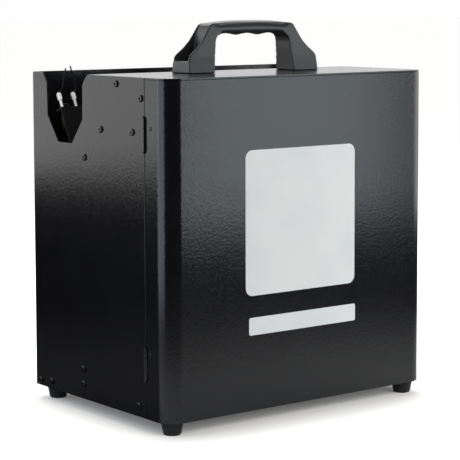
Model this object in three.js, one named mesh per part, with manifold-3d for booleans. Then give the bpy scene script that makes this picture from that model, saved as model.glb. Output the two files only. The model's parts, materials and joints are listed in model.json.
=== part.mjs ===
// A stage flame machine: a sheet steel case with a hinged front door, an open flame trough with three
// burner stations at the back of its top, a bay for three fuel cans behind the door, and an
// electronics bay behind that. Millimetres, +Z up, front towards -Y. The origin is on the floor, under
// the middle of the case. Inside the case group, y counts back from the door's face and z up from the
// underside of the case.
import * as THREE from "three";
import { mergeVertices } from "three/addons/utils/BufferGeometryUtils.js";
import Module from "manifold-3d";

const wasm = await Module();
wasm.setup();

// Case: folded sheet steel, powder coated
const caseWidth = 324;
const caseDepth = 232;
const caseHeight = 320;
const sheet = 1.5;
const cornerRadius = 17;
const topPlateShare = 0.556;
const seamDepth = 35;
const seamGap = 0.8;
const sheetGap = 0.3;
const overrun = 3;
const topFlange = 18;
const topSideFlange = 14;
const trayFlange = 20;
const canRingWidth = 3;
const canRingHeight = 2.5;

// Exhaust notch in each side panel, open to the top
const notchSetback = 1.4;
const notchWidthShare = 0.805;
const notchDepth = 68.2;
// Points down the front edge, along the bottom and up the back, over the width and the depth
const notchOutlineShares = [
  [0, 0],
  [0.056, 0.05],
  [0.123, 0.155],
  [0.126, 0.646],
  [0.356, 1],
  [0.659, 1],
  [0.893, 0.625],
  [0.906, 0.15],
  [1, 0],
];

// Flame trough
const troughFloorDrop = 74;
const troughWallDrop = 4;
const troughFlange = 14;
const troughFlangeInset = 3;

// Door hinges: two short butt hinges whose knuckles lie in slots of the seam
const hingeHeight = 31;
const hingeFromBottom = 52.3;
const hingeFromTop = 53;
const hingeNames = ["lower", "upper"];
const knuckleRadius = 2.3;
const hingePinRadius = 1;
const hingePinHeadRadius = 1.8;
const hingePinHeadHeight = 1;
const leafWidth = 14;
const leafThickness = 1.2;
const leafNotch = 3.2;
const knuckleShare = 0.3;

// Door lock: a quarter-turn cam lock in the door's right return
const lockHeightShare = 0.5;
const lockSetback = 22;
const lockFlangeRadius = 9.5;
const lockFlangeThickness = 1.5;
const lockBarrelRadius = 8;
const lockBarrelLength = 14;
const plugRadius = 4;
const keySlotWidth = 1.2;
const keySlotDepth = 3;
const camThickness = 2.5;
const camHubRadius = 7;
const camArmWidth = 5.6;
const camFingerWidth = 3.6;
const camFingerDrop = 4;
const keeperReach = 26.5;
const keeperRadius = 2.5;
const keeperOverhang = 3;

// Carry handle: a moulded grip with a hollow screw recess in each sloped end
const handleDepthShare = 0.69;
const handleLength = 163;
const handleWidth = 28;
const handleRise = 51.3;
const handleShoulderRise = 48.7;
const handleShoulderInset = 36;
const handleEndRise = 16;
const handleLeg = 32.5;
const gripRise = 37;
const gripCornerRadius = 9;
const gripFlat = 3.55;
const fingerDepth = 2.2;
const fingerCount = 3;
const handleEdge = 2.5;
const handleWall = 3.5;
const handleFloor = 5;
const handleScrewHoleRadius = 2.75;
const handleScrewInset = 15.5;

// Feet: tapered rubber, with a screw recess from below
const footHeight = 13;
const footTopRadius = 11;
const footBottomRadius = 8.6;
const footInset = 16;
const footRecessRadius = 4;
const footRecessDepth = 6;
const footRim = 0.8;

// Burner stations
const stationFromSide = 20;
const stationFromRear = 29;
const nozzleRise = 42;
const nozzleHexAcross = 17;
const nozzleHexHeight = 7;
const nozzleBodyRadius = 6;
const nozzleTipRadius = 3.2;
const nozzleTipRise = 12;
const nozzleStemRadius = 4.7;
const nozzleStemLength = 6.2;
const nozzleBore = 1.2;
const insulatorTopDrop = 21;
const insulatorSetForward = 0.6;
const insulatorLean = THREE.MathUtils.degToRad(26.6);
const insulatorPitch = 16.5;
const insulatorLength = 28;
const insulatorHeadLength = 7;
const insulatorHeadRadius = 2.5;
const insulatorStemRadius = 1.6;
const electrodeRadius = 0.8;
const electrodeStraight = 2.5;
const sparkGap = 5.4;
const tipSetForward = 5.7;
const leftTipRise = 3.6;
const rightTipRise = 5.8;
const bracketThickness = 1.5;
const bracketHalfWidth = 14;
const bracketTabDrop = 17.5;
const bracketTabFront = 6;
const bracketTabRear = 4;
const bracketFoot = 15;

// Fuel side: a rail with three can sockets, pipes and solenoid valves
const canPitch = 105;
const canDepthShare = 0.4984;
const canRadiusShare = 0.368;
const railDrop = 56;
const railThickness = 2;
const railFromBulkhead = 13.7;
const railFlange = 12;
const railEndFlange = 14;
const socketRadius = 19;
const socketBore = 14.5;
const socketHeight = 34;
const socketRoof = 9;
const socketSeatRadius = 3.5;
const pipeRadius = 3;
const pipeBelowTrough = 8.5;
const pipeStubRadius = 4;
const pipeStubLength = 13;
const pipeHoleClearance = 1.5;
const pipeBendShare = 0.49;
const valveDrop = 6.5;
const valveBlock = 24;
const valveBlockHeight = 20;
const valveCoilWidth = 26;
const valveCoilDepth = 24;
const valveCoilHeight = 30;
const valveCoilOverlap = 2;
const valveInletDrop = 12;
const valveStubLength = 7;

// Ignition: one module on the bulkhead, and a forked lead to each station
const moduleWidth = 112;
const moduleDepth = 34;
const moduleHeight = 42;
const moduleBelowTrough = 54.5;
const moduleShift = 12;
const moduleOutletPitch = 32;
const moduleOutletRadius = 5;
const moduleOutletHeight = 7;
const leadRadius = 2;
const leadTailRadius = 1.2;
const leadHoleSide = 12;
const leadHoleForward = 25;
const grommetRadius = 3.6;
const grommetRise = 4;
const leadBend = 20;
const tailBend = 8;

// Electronics
const supplyWidth = 118;
const supplyDepth = 62;
const supplyHeight = 34;
const supplyFromBulkhead = 20.8;
const supplyFromLeft = 14;
const supplyTerminalWidth = 52;
const supplyTerminalDepth = 10;
const supplyTerminalHeight = 12;
const boardWidth = 104;
const boardHeight = 58;
const boardThickness = 1.6;
const boardBehindPanel = 12;
const boardFromRight = 86;
const boardCentreShare = 0.5375;
const displayWidth = 62;
const displayHeight = 20;
const displayRise = 11;
const buttonRadius = 3.5;
const buttonProud = 2;
const buttonTravel = 1.5;
const buttonPitch = 16;
const buttonDrop = 17;
const buttonCollar = 1;
const buttonNames = ["menu_button", "down_button", "up_button", "enter_button"];
const switchBlock = 6;
const standoffRadius = 2.5;
const standoffInset = 5;

// Mains inlet with its rocker, and the signal sockets
const inletFromRight = 62;
const inletCentreHeight = 48;
const inletPlateWidth = 58;
const inletPlateHeight = 30;
const inletPlate = 2.5;
const inletBodyMargin = 3;
const inletBodyDepth = 26;
const inletMouthWidth = 25;
const inletMouthHeight = 17;
const inletMouthDepth = 16;
const inletMouthShift = 11;
const rockerShift = 17;
const rockerWidth = 12;
const rockerHeight = 18;
const rockerThickness = 2.4;
const rockerDepth = 3;
const rockerPocketDepth = 9;
const rockerTilt = THREE.MathUtils.degToRad(7);
const socketPlateWidth = 26;
const socketPlateHeight = 31;
const socketPlate = 2;
const signalBarrelRadius = 11.5;
const signalBore = 8.2;
const signalDepth = 22;
const signalBoreDepth = 15;
const signalPitch = 40;
const ventFromLeft = 78;
const signalHeightShare = 0.3375;
const ventSlots = 7;
const ventSlotWidth = 46;
const ventSlotHeight = 3;
const ventPitch = 7;
const ventLowestShare = 0.2625;

// Roundness
const roundSides = 32;
const middleSides = 24;
const smallSides = 16;
const pipeSides = 10;
const wireSides = 6;
const hexSides = 6;
const cornerSteps = 8;
const longSteps = 14;
const shortSteps = 8;

// Places that follow from the sizes above
const halfWidth = caseWidth / 2;
const innerHalfWidth = halfWidth - sheet;
const seatHalfWidth = innerHalfWidth - sheetGap;
const doorRear = seamDepth - seamGap / 2;
const panelFront = seamDepth + seamGap / 2;
const doorHeight = caseHeight - sheet - sheetGap;
const rearInner = caseDepth - sheet;
const slotHalf = knuckleRadius + sheetGap;
const topPlateDepth = caseDepth * topPlateShare;
const topFlangeFront = topPlateDepth - sheet;
const bulkheadFront = topFlangeFront - sheetGap - sheet;
const bulkheadRear = bulkheadFront + sheet;
const troughWallFront = topPlateDepth + sheetGap;
const troughFloor = caseHeight - troughFloorDrop;
const troughUnderside = troughFloor - sheet;
const notchWidth = (caseDepth - topPlateDepth) * notchWidthShare;
const hingeCentreHeights = [hingeFromBottom, caseHeight - hingeFromTop];
const lockHeight = caseHeight * lockHeightShare;
const handleDepth = topPlateDepth * handleDepthShare;
const handleLegInner = handleLength / 2 - handleLeg;
const fingerPitch = (2 * (handleLegInner - gripCornerRadius - gripFlat)) / fingerCount;
const stationOffset = halfWidth - stationFromSide;
const stationDepth = caseDepth - stationFromRear;
const stations = [
  { side: "left", x: -stationOffset, can: -canPitch, outlet: -moduleOutletPitch, hole: leadHoleSide },
  { side: "centre", x: 0, can: 0, outlet: 0, hole: leadHoleSide },
  { side: "right", x: stationOffset, can: canPitch, outlet: moduleOutletPitch, hole: -leadHoleSide },
];
const insulatorTop = new THREE.Vector3(0, stationDepth - insulatorSetForward, caseHeight - insulatorTopDrop);
const insulatorAxis = new THREE.Vector3(0, Math.sin(insulatorLean), Math.cos(insulatorLean));
const leadHoleDepth = stationDepth - leadHoleForward;
const canBayDepth = bulkheadFront - doorRear;
const canDepth = doorRear + canBayDepth * canDepthShare;
const canRadius = canBayDepth * canRadiusShare;
const railFront = seamDepth + knuckleRadius + leafWidth + 2 * sheetGap;
const railRear = bulkheadFront - railFromBulkhead;
const railBottom = caseHeight - railDrop - railThickness;
const pipeHeight = troughUnderside - pipeBelowTrough;
const valveTop = troughUnderside - valveDrop;
const valveInlet = valveTop - valveInletDrop;
const moduleTop = troughUnderside - moduleBelowTrough;
const boardCentreHeight = caseHeight * boardCentreShare;
const boardCentreShift = halfWidth - boardFromRight;
const inletCentreShift = halfWidth - inletFromRight;
const ventEdge = ventFromLeft - halfWidth;
const signalHeight = caseHeight * signalHeightShare;
const ventLowest = caseHeight * ventLowestShare;
const trayFront = sheet + sheetGap;
const canRestHeight = sheet + canRingHeight;
const innerRoundFront = cornerRadius - sheet - sheetGap;

// Solids from geometries, and back

function toSolid(geometry) {
  const plain = geometry.clone();
  plain.deleteAttribute("normal");
  plain.deleteAttribute("uv");
  const merged = mergeVertices(plain);
  const triVerts = new Uint32Array(merged.index.array);
  const vertProperties = merged.attributes.position.array;
  return new wasm.Manifold(new wasm.Mesh({ numProp: 3, vertProperties, triVerts }));
}

function toGeometry(solid) {
  const mesh = solid.getMesh();
  const geometry = new THREE.BufferGeometry();
  geometry.setAttribute("position", new THREE.BufferAttribute(mesh.vertProperties, 3));
  geometry.setIndex(new THREE.BufferAttribute(mesh.triVerts, 1));
  geometry.computeVertexNormals();
  return geometry;
}

function join(first, ...others) {
  return toGeometry(others.reduce((solid, other) => solid.add(toSolid(other)), toSolid(first)));
}

function cut(first, ...tools) {
  return toGeometry(tools.reduce((solid, tool) => solid.subtract(toSolid(tool)), toSolid(first)));
}

// Basic shapes

function block(x0, x1, y0, y1, z0, z1) {
  const geometry = new THREE.BoxGeometry(x1 - x0, y1 - y0, z1 - z0);
  return geometry.translate((x0 + x1) / 2, (y0 + y1) / 2, (z0 + z1) / 2);
}

// A block centred on x, the usual case in a symmetric machine
function centredBlock(width, y0, y1, z0, z1) {
  return block(-width / 2, width / 2, y0, y1, z0, z1);
}

function barX(radius, x0, x1, sides = roundSides) {
  return new THREE.CylinderGeometry(radius, radius, x1 - x0, sides)
    .rotateZ(-Math.PI / 2)
    .translate((x0 + x1) / 2, 0, 0);
}

function barY(radius, y0, y1, sides = roundSides) {
  return new THREE.CylinderGeometry(radius, radius, y1 - y0, sides).translate(0, (y0 + y1) / 2, 0);
}

function barZ(radius, z0, z1, sides = roundSides) {
  return new THREE.CylinderGeometry(radius, radius, z1 - z0, sides)
    .rotateX(Math.PI / 2)
    .translate(0, 0, (z0 + z1) / 2);
}

// A turned piece about Z, from radius and height pairs that run up from the axis and back to it
function turned(profile, sides = roundSides) {
  const points = profile.map(([radius, height]) => new THREE.Vector2(radius, height));
  return new THREE.LatheGeometry(points, sides).rotateX(Math.PI / 2);
}

function polygon(points) {
  return new THREE.Shape(points.map(([u, v]) => new THREE.Vector2(u, v)));
}

// A straight prism of a plan outline, from z0 up to z1
function prismZ(shape, z0, z1) {
  const settings = { depth: z1 - z0, bevelEnabled: false, curveSegments: cornerSteps };
  return new THREE.ExtrudeGeometry(shape, settings).translate(0, 0, z0);
}

// A prism of an outline in Y and Z, from x0 to x1
function prismX(shape, x0, x1) {
  const settings = { depth: x1 - x0, bevelEnabled: false, curveSegments: cornerSteps };
  const turn = new THREE.Matrix4().makeBasis(
    new THREE.Vector3(0, 1, 0),
    new THREE.Vector3(0, 0, 1),
    new THREE.Vector3(1, 0, 0),
  );
  return new THREE.ExtrudeGeometry(shape, settings).applyMatrix4(turn).translate(x0, 0, 0);
}

// An outline in X and Z that stands up and is seen from the front, from y0 back to y1
function standUp(geometry, y1) {
  return geometry.rotateX(Math.PI / 2).translate(0, y1, 0);
}

// A tube or wire along a curve
function tubeAlong(curve, radius, steps, sides = wireSides) {
  const ring = Array.from({ length: sides }, (_, side) => {
    const angle = (2 * Math.PI * side) / sides;
    return [radius * Math.cos(angle), radius * Math.sin(angle)];
  });
  return new THREE.ExtrudeGeometry(polygon(ring), { steps, extrudePath: curve, bevelEnabled: false });
}

// A plan outline with a straight back and two rounded front corners
function roundedFront(half, front, back, radius) {
  const shape = new THREE.Shape();
  shape.moveTo(-half, back);
  shape.lineTo(-half, front + radius);
  shape.absarc(-half + radius, front + radius, radius, Math.PI, 1.5 * Math.PI, false);
  shape.lineTo(half - radius, front);
  shape.absarc(half - radius, front + radius, radius, 1.5 * Math.PI, 2 * Math.PI, false);
  shape.lineTo(half, back);
  return shape;
}

// Case parts

// The pair of flanges that stand against the insides of the two side panels
function sideFlanges(thickness, y0, y1, z0, z1) {
  const inner = seatHalfWidth - thickness;
  return [
    block(-seatHalfWidth, -inner, y0, y1, z0, z1),
    block(inner, seatHalfWidth, y0, y1, z0, z1),
  ];
}

function hingeSlots(y0, y1) {
  const rise = hingeHeight / 2 + hingePinHeadHeight + 2 * sheetGap;
  return hingeCentreHeights.map((height) =>
    block(-halfWidth - overrun, -innerHalfWidth + overrun, y0, y1, height - rise, height + rise),
  );
}

function makeFrontDoor() {
  const outer = prismZ(roundedFront(halfWidth, 0, doorRear, cornerRadius), 0, doorHeight);
  const hollow = roundedFront(innerHalfWidth, sheet, doorRear + overrun, cornerRadius - sheet);
  const lockHole = barX(lockBarrelRadius + sheetGap, innerHalfWidth - overrun, halfWidth + overrun);
  return cut(
    outer,
    prismZ(hollow, -overrun, doorHeight + overrun),
    lockHole.translate(0, lockSetback, lockHeight),
    ...hingeSlots(seamDepth - slotHalf, doorRear + overrun),
  );
}

// Both side panels: the outline in Y and Z with the notch
function sidePanelOutline() {
  const notchFront = topPlateDepth + notchSetback;
  const notch = notchOutlineShares.map(([along, down]) => [
    notchFront + along * notchWidth,
    caseHeight - down * notchDepth,
  ]);
  const corners = [
    [caseDepth, caseHeight],
    [caseDepth, 0],
    [panelFront, 0],
    [panelFront, caseHeight],
  ];
  return polygon([...notch, ...corners].reverse());
}

function makeLeftSidePanel() {
  const panel = prismX(sidePanelOutline(), -halfWidth, -innerHalfWidth);
  return cut(panel, ...hingeSlots(panelFront - overrun, seamDepth + slotHalf));
}

// The right panel carries the stud that the door's cam hooks over
function makeRightSidePanel() {
  const panel = prismX(sidePanelOutline(), innerHalfWidth, halfWidth);
  const studEnd = innerHalfWidth - lockBarrelLength - camThickness - keeperOverhang;
  const stud = barX(keeperRadius, studEnd, halfWidth - sheet / 2, smallSides);
  return join(panel, stud.translate(0, lockSetback + keeperReach, lockHeight));
}

function makeRearPanel() {
  const panel = centredBlock(2 * seatHalfWidth, rearInner, caseDepth, 0, caseHeight);
  const y0 = rearInner - overrun;
  const y1 = caseDepth + overrun;
  const body = inletBodyMargin - sheetGap;
  const inletHole = block(
    inletCentreShift - inletPlateWidth / 2 + body,
    inletCentreShift + inletPlateWidth / 2 - body,
    y0,
    y1,
    inletCentreHeight - inletPlateHeight / 2 + body,
    inletCentreHeight + inletPlateHeight / 2 - body,
  );
  const displayWindow = block(
    boardCentreShift - displayWidth / 2 - sheetGap,
    boardCentreShift + displayWidth / 2 + sheetGap,
    y0,
    y1,
    boardCentreHeight - sheetGap,
    boardCentreHeight + displayHeight + sheetGap,
  );
  const buttonHoles = buttonPlaces().map(({ x, z }) =>
    barY(buttonRadius + sheetGap, y0, y1, smallSides).translate(x, 0, z),
  );
  const socketHoles = signalPlaces().map(({ x }) =>
    barY(signalBarrelRadius + sheetGap, y0, y1).translate(x, 0, signalHeight),
  );
  const vents = Array.from({ length: ventSlots }, (_, slot) => {
    const z = ventLowest + slot * ventPitch;
    return block(ventEdge - ventSlotWidth, ventEdge, y0, y1, z, z + ventSlotHeight);
  });
  return cut(panel, inletHole, displayWindow, ...buttonHoles, ...socketHoles, ...vents);
}

function makeTopPlate() {
  const under = caseHeight - sheet;
  const nose = prismZ(roundedFront(halfWidth, 0, doorRear, cornerRadius), under, caseHeight);
  const width = 2 * seatHalfWidth;
  const plate = centredBlock(width, cornerRadius, topPlateDepth, under, caseHeight);
  const rear = centredBlock(width, topFlangeFront, topPlateDepth, caseHeight - topFlange, caseHeight);
  const sides = sideFlanges(
    sheet,
    panelFront + slotHalf,
    topPlateDepth - topFlange,
    caseHeight - topSideFlange,
    caseHeight,
  );
  const holes = [-1, 1].map((side) =>
    barZ(handleScrewHoleRadius, under - overrun, caseHeight + overrun, smallSides).translate(
      side * (handleLength / 2 - handleScrewInset),
      handleDepth,
      0,
    ),
  );
  return cut(join(nose, plate, rear, ...sides), ...holes);
}

// The tray stands a little back inside the door, so that the door's right return swings clear of it
function makeBaseTray() {
  const back = rearInner - sheetGap;
  const noseHalf = seatHalfWidth - 2 * sheetGap;
  const nose = prismZ(roundedFront(noseHalf, trayFront, panelFront + overrun, innerRoundFront), 0, sheet);
  const floor = centredBlock(2 * seatHalfWidth, panelFront, back, 0, sheet);
  const rear = centredBlock(2 * seatHalfWidth, back - sheet, back, 0, trayFlange);
  const sides = sideFlanges(sheet, panelFront + slotHalf, back, 0, trayFlange);
  const rings = stations.map(({ can }) =>
    cut(
      barZ(canRadius + canRingWidth, sheet / 2, canRestHeight),
      barZ(canRadius, -overrun, canRestHeight + overrun),
    ).translate(can, canDepth, 0),
  );
  return join(nose, floor, rear, ...sides, ...rings);
}

function makeBulkhead() {
  const plate = centredBlock(
    2 * (seatHalfWidth - sheet - sheetGap),
    bulkheadFront,
    bulkheadRear,
    sheet + sheetGap,
    caseHeight - sheet - sheetGap,
  );
  const y0 = bulkheadFront - overrun;
  const y1 = bulkheadRear + overrun;
  const holes = stations.map(({ can }) =>
    barY(pipeRadius + pipeHoleClearance, y0, y1, smallSides).translate(can, 0, pipeHeight),
  );
  return cut(plate, ...holes);
}

function makeFlameTrough() {
  const rear = rearInner - sheetGap;
  const flangeBottom = troughFloor - troughFlange;
  const width = 2 * seatHalfWidth;
  const wallTop = caseHeight - troughWallDrop;
  const floor = centredBlock(width, troughWallFront, rear, troughUnderside, troughFloor);
  const wall = centredBlock(width, troughWallFront, troughWallFront + sheet, troughUnderside, wallTop);
  const back = centredBlock(width, rear - sheet, rear, flangeBottom, troughFloor);
  const flangeFront = troughWallFront + troughFlangeInset;
  const sides = sideFlanges(sheet, flangeFront, rear, flangeBottom, troughFloor);
  const z0 = troughUnderside - overrun;
  const z1 = troughFloor + overrun;
  const holes = stations.flatMap(({ x, hole }) => [
    barZ(nozzleStemRadius + sheetGap, z0, z1, middleSides).translate(x, stationDepth, 0),
    barZ(grommetRadius + sheetGap, z0, z1, smallSides).translate(x + hole, leadHoleDepth, 0),
  ]);
  return cut(join(floor, wall, back, ...sides), ...holes);
}

// Hinges

// One leaf with its knuckles; towards is -1 for the leaf on the door and 1 for the one on the case
function makeHingeLeaf(centre, towards, outerKnuckles) {
  const bottom = centre - hingeHeight / 2;
  const end = hingeHeight * knuckleShare;
  const whole = [bottom, bottom + hingeHeight];
  const middle = [bottom + end + sheetGap, bottom + hingeHeight - end - sheetGap];
  const outer = [
    [bottom, bottom + end],
    [bottom + hingeHeight - end, bottom + hingeHeight],
  ];
  const own = outerKnuckles ? outer : [middle];
  const others = outerKnuckles
    ? [[middle[0] - sheetGap, middle[1] + sheetGap]]
    : [
        [bottom - overrun, middle[0]],
        [middle[1], bottom + hingeHeight + overrun],
      ];
  const leafOut = -innerHalfWidth + sheetGap;
  const leafIn = leafOut + leafThickness;
  const edge = knuckleRadius * towards;
  const web = (knuckleRadius - leafThickness) * towards;
  const across = (from, to, x0, x1, [z0, z1]) =>
    block(x0, x1, seamDepth + Math.min(from, to), seamDepth + Math.max(from, to), z0, z1);
  const leaf = across(web, towards * (knuckleRadius + leafWidth), leafOut, leafIn, whole);
  const reliefs = others.map((span) =>
    across(0, towards * leafNotch, -halfWidth - overrun, leafIn + overrun, span),
  );
  const knuckles = own.flatMap((span) => [
    barZ(knuckleRadius, span[0], span[1], smallSides).translate(-halfWidth, seamDepth, 0),
    across(web, edge, -halfWidth, leafIn, span),
  ]);
  const holeTop = bottom + hingeHeight + overrun;
  const pinHole = barZ(hingePinRadius + sheetGap, bottom - overrun, holeTop, smallSides);
  return cut(join(cut(leaf, ...reliefs), ...knuckles), pinHole.translate(-halfWidth, seamDepth, 0));
}

function makeHingePin(centre) {
  const bottom = centre - hingeHeight / 2;
  const top = bottom + hingeHeight + sheetGap;
  const shank = barZ(hingePinRadius, bottom, top + hingePinHeadHeight / 2, smallSides);
  const head = barZ(hingePinHeadRadius, top, top + hingePinHeadHeight, smallSides);
  return join(shank, head).translate(-halfWidth, seamDepth, 0);
}

// Lock

function makeLockBody() {
  const inner = innerHalfWidth - lockBarrelLength;
  const flangeSeat = halfWidth + sheetGap;
  const flange = barX(lockFlangeRadius, flangeSeat, flangeSeat + lockFlangeThickness);
  const barrel = barX(lockBarrelRadius, inner, flangeSeat + lockFlangeThickness / 2);
  const bore = barX(plugRadius + sheetGap, inner - overrun, flangeSeat + lockFlangeThickness + overrun);
  return cut(join(flange, barrel), bore).translate(0, lockSetback, lockHeight);
}

// The plug and its hooked cam, drawn in the locked position and turned up to the open one
function makeLockCam() {
  const face = halfWidth + sheetGap + lockFlangeThickness;
  const camOut = innerHalfWidth - lockBarrelLength - sheetGap;
  const camIn = camOut - camThickness;
  const armLow = keeperRadius + sheetGap;
  const armHigh = armLow + camArmWidth;
  const fingerIn = keeperReach + keeperRadius + sheetGap;
  const fingerOut = fingerIn + camFingerWidth;
  const hook = polygon([
    [0, armLow],
    [fingerIn, armLow],
    [fingerIn, -camFingerDrop],
    [fingerOut, -camFingerDrop],
    [fingerOut, armHigh],
    [0, armHigh],
  ]);
  const plug = barX(plugRadius, camIn, face);
  const hub = barX(camHubRadius, camIn, camOut);
  const keySlot = block(
    face - keySlotDepth,
    face + overrun,
    -keySlotWidth / 2,
    keySlotWidth / 2,
    -plugRadius / 2,
    plugRadius / 2,
  );
  const assembled = cut(join(plug, hub, prismX(hook, camIn, camOut)), keySlot);
  return assembled.rotateX(Math.PI / 2).translate(0, lockSetback, lockHeight);
}

// Carry handle

function makeCarryHandle() {
  const half = handleLength / 2;
  const fingerSpan = (fingerCount * fingerPitch) / 2;
  const cornerAcross = handleLegInner - gripCornerRadius;
  const cornerUp = gripRise - fingerDepth - gripCornerRadius;
  const shape = new THREE.Shape();
  shape.moveTo(-half, 0);
  shape.lineTo(-handleLegInner, 0);
  shape.lineTo(-handleLegInner, cornerUp);
  shape.absarc(-cornerAcross, cornerUp, gripCornerRadius, Math.PI, Math.PI / 2, true);
  const steps = fingerCount * cornerSteps;
  for (let step = 0; step <= steps; step += 1) {
    const x = -fingerSpan + (2 * fingerSpan * step) / steps;
    const lift = (1 + Math.cos((2 * Math.PI * x) / fingerPitch)) / 2;
    shape.lineTo(x, gripRise - fingerDepth + fingerDepth * lift);
  }
  shape.absarc(cornerAcross, cornerUp, gripCornerRadius, Math.PI / 2, 0, true);
  shape.lineTo(handleLegInner, 0);
  shape.lineTo(half, 0);
  shape.lineTo(half, handleEndRise);
  const shoulder = half - handleShoulderInset;
  const crown = 2 * handleRise - handleShoulderRise;
  shape.lineTo(shoulder, handleShoulderRise);
  shape.quadraticCurveTo(0, crown, -shoulder, handleShoulderRise);
  shape.lineTo(-half, handleEndRise);
  const settings = {
    depth: handleWidth - 2 * handleEdge,
    bevelEnabled: true,
    bevelThickness: handleEdge,
    bevelSize: handleEdge,
    bevelOffset: -handleEdge,
    bevelSegments: 3,
    curveSegments: cornerSteps,
  };
  const body = new THREE.ExtrudeGeometry(shape, settings);
  const standing = standUp(body, handleDepth + handleWidth / 2 - handleEdge).translate(0, 0, caseHeight);
  const recessHalf = handleWidth / 2 - handleWall;
  const recesses = [-1, 1].map((side) => {
    const outer = side * (half - handleWall);
    const inner = side * (handleLegInner + handleWall);
    const recess = polygon([
      [outer, handleFloor],
      [inner, handleFloor],
      [inner + side * handleWall, handleRise + overrun],
      [outer, handleRise + overrun],
    ]);
    const prism = new THREE.ExtrudeGeometry(recess, { depth: 2 * recessHalf, bevelEnabled: false });
    return standUp(prism, handleDepth + recessHalf).translate(0, 0, caseHeight);
  });
  const floorTop = caseHeight + handleFloor;
  const holes = [-1, 1].map((side) =>
    barZ(handleScrewHoleRadius, caseHeight - overrun, floorTop + overrun, smallSides).translate(
      side * (half - handleScrewInset),
      handleDepth,
      0,
    ),
  );
  return cut(standing, ...recesses, ...holes);
}

// Feet, drawn with the floor at zero

function makeFoot() {
  const profile = [
    [0, footRecessDepth],
    [footRecessRadius, footRecessDepth],
    [footRecessRadius, 0],
    [footBottomRadius - footRim, 0],
    [footBottomRadius, footRim],
    [footTopRadius, footHeight - footRim],
    [footTopRadius, footHeight],
    [0, footHeight],
  ];
  return turned(profile, middleSides);
}

// Burner stations

function makeNozzle() {
  const seat = troughFloor + sheetGap;
  const hexTop = seat + nozzleHexHeight;
  const top = troughFloor + nozzleRise;
  const hexRadius = nozzleHexAcross / Math.sqrt(3);
  const hex = barZ(hexRadius, seat, hexTop, hexSides);
  const stemEnd = troughUnderside - nozzleStemLength;
  const shoulder = seat + nozzleHexHeight / 2;
  const profile = [
    [0, stemEnd],
    [nozzleStemRadius, stemEnd],
    [nozzleStemRadius, shoulder],
    [nozzleBodyRadius, shoulder],
    [nozzleBodyRadius, top - nozzleTipRise],
    [nozzleTipRadius, top],
    [0, top],
  ];
  const bore = barZ(nozzleBore, stemEnd - overrun, top + overrun, pipeSides);
  return cut(join(hex, turned(profile, middleSides)), bore).translate(0, stationDepth, 0);
}

// Turns what is drawn along Z below zero into the lean of the insulators, from the top of one
function leaned(geometry) {
  return geometry.rotateX(-insulatorLean).translate(insulatorTop.x, insulatorTop.y, insulatorTop.z);
}

function makeInsulator(side) {
  const neck = insulatorHeadRadius - insulatorStemRadius;
  const bore = electrodeRadius + sheetGap;
  const profile = [
    [bore, -insulatorLength],
    [insulatorStemRadius, -insulatorLength],
    [insulatorStemRadius, -insulatorHeadLength - neck],
    [insulatorHeadRadius, -insulatorHeadLength],
    [insulatorHeadRadius, -neck],
    [insulatorStemRadius, 0],
    [bore, 0],
    [bore, -insulatorLength],
  ];
  return leaned(turned(profile, smallSides).translate((side * insulatorPitch) / 2, 0, 0));
}

// The rod runs through its insulator, then bends in towards the spark gap
function makeElectrode(side) {
  const rise = side < 0 ? leftTipRise : rightTipRise;
  const foot = insulatorTop.clone().addScaledVector(insulatorAxis, -insulatorLength);
  const bend = insulatorTop.clone().addScaledVector(insulatorAxis, electrodeStraight);
  const offset = (side * insulatorPitch) / 2;
  const tipDepth = stationDepth - tipSetForward;
  const tip = new THREE.Vector3((side * sparkGap) / 2, tipDepth, caseHeight + rise);
  foot.x = offset;
  bend.x = offset;
  const straight = new THREE.LineCurve3(foot, bend);
  const knee = bend.clone().addScaledVector(insulatorAxis, electrodeStraight);
  const sweep = new THREE.QuadraticBezierCurve3(bend, knee, tip);
  const path = new THREE.CurvePath();
  path.add(straight);
  path.add(sweep);
  return tubeAlong(path, electrodeRadius, longSteps);
}

function makeElectrodeBracket() {
  const tabTop = -bracketTabDrop;
  const tabBottom = tabTop - bracketThickness;
  const plateLength = (insulatorTop.z - troughFloor) / Math.cos(insulatorLean) + bracketTabFront;
  const tab = centredBlock(2 * bracketHalfWidth, -bracketTabFront, bracketTabRear, tabBottom, tabTop);
  const plate = centredBlock(
    2 * bracketHalfWidth,
    -bracketTabFront,
    -bracketTabFront + bracketThickness,
    -plateLength,
    tabTop,
  );
  const holes = [-1, 1].map((side) =>
    barZ(insulatorStemRadius + sheetGap, tabBottom - overrun, tabTop + overrun, smallSides).translate(
      (side * insulatorPitch) / 2,
      0,
      0,
    ),
  );
  const leaning = leaned(cut(join(tab, plate), ...holes));
  const seat = troughFloor + sheetGap;
  const below = troughUnderside - caseHeight / 4;
  const trimmed = cut(leaning, centredBlock(caseWidth, 0, caseDepth, below, seat));
  const { y: leanForward, z: leanUp } = insulatorAxis;
  const alongPlate = (insulatorTop.z - seat - bracketTabFront * leanForward) / leanUp;
  const meet = insulatorTop.y - alongPlate * leanForward - bracketTabFront * leanUp;
  const foot = centredBlock(
    2 * bracketHalfWidth,
    meet - bracketFoot,
    meet + bracketThickness,
    seat,
    seat + bracketThickness,
  );
  return join(trimmed, foot);
}

// Fuel side

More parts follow.
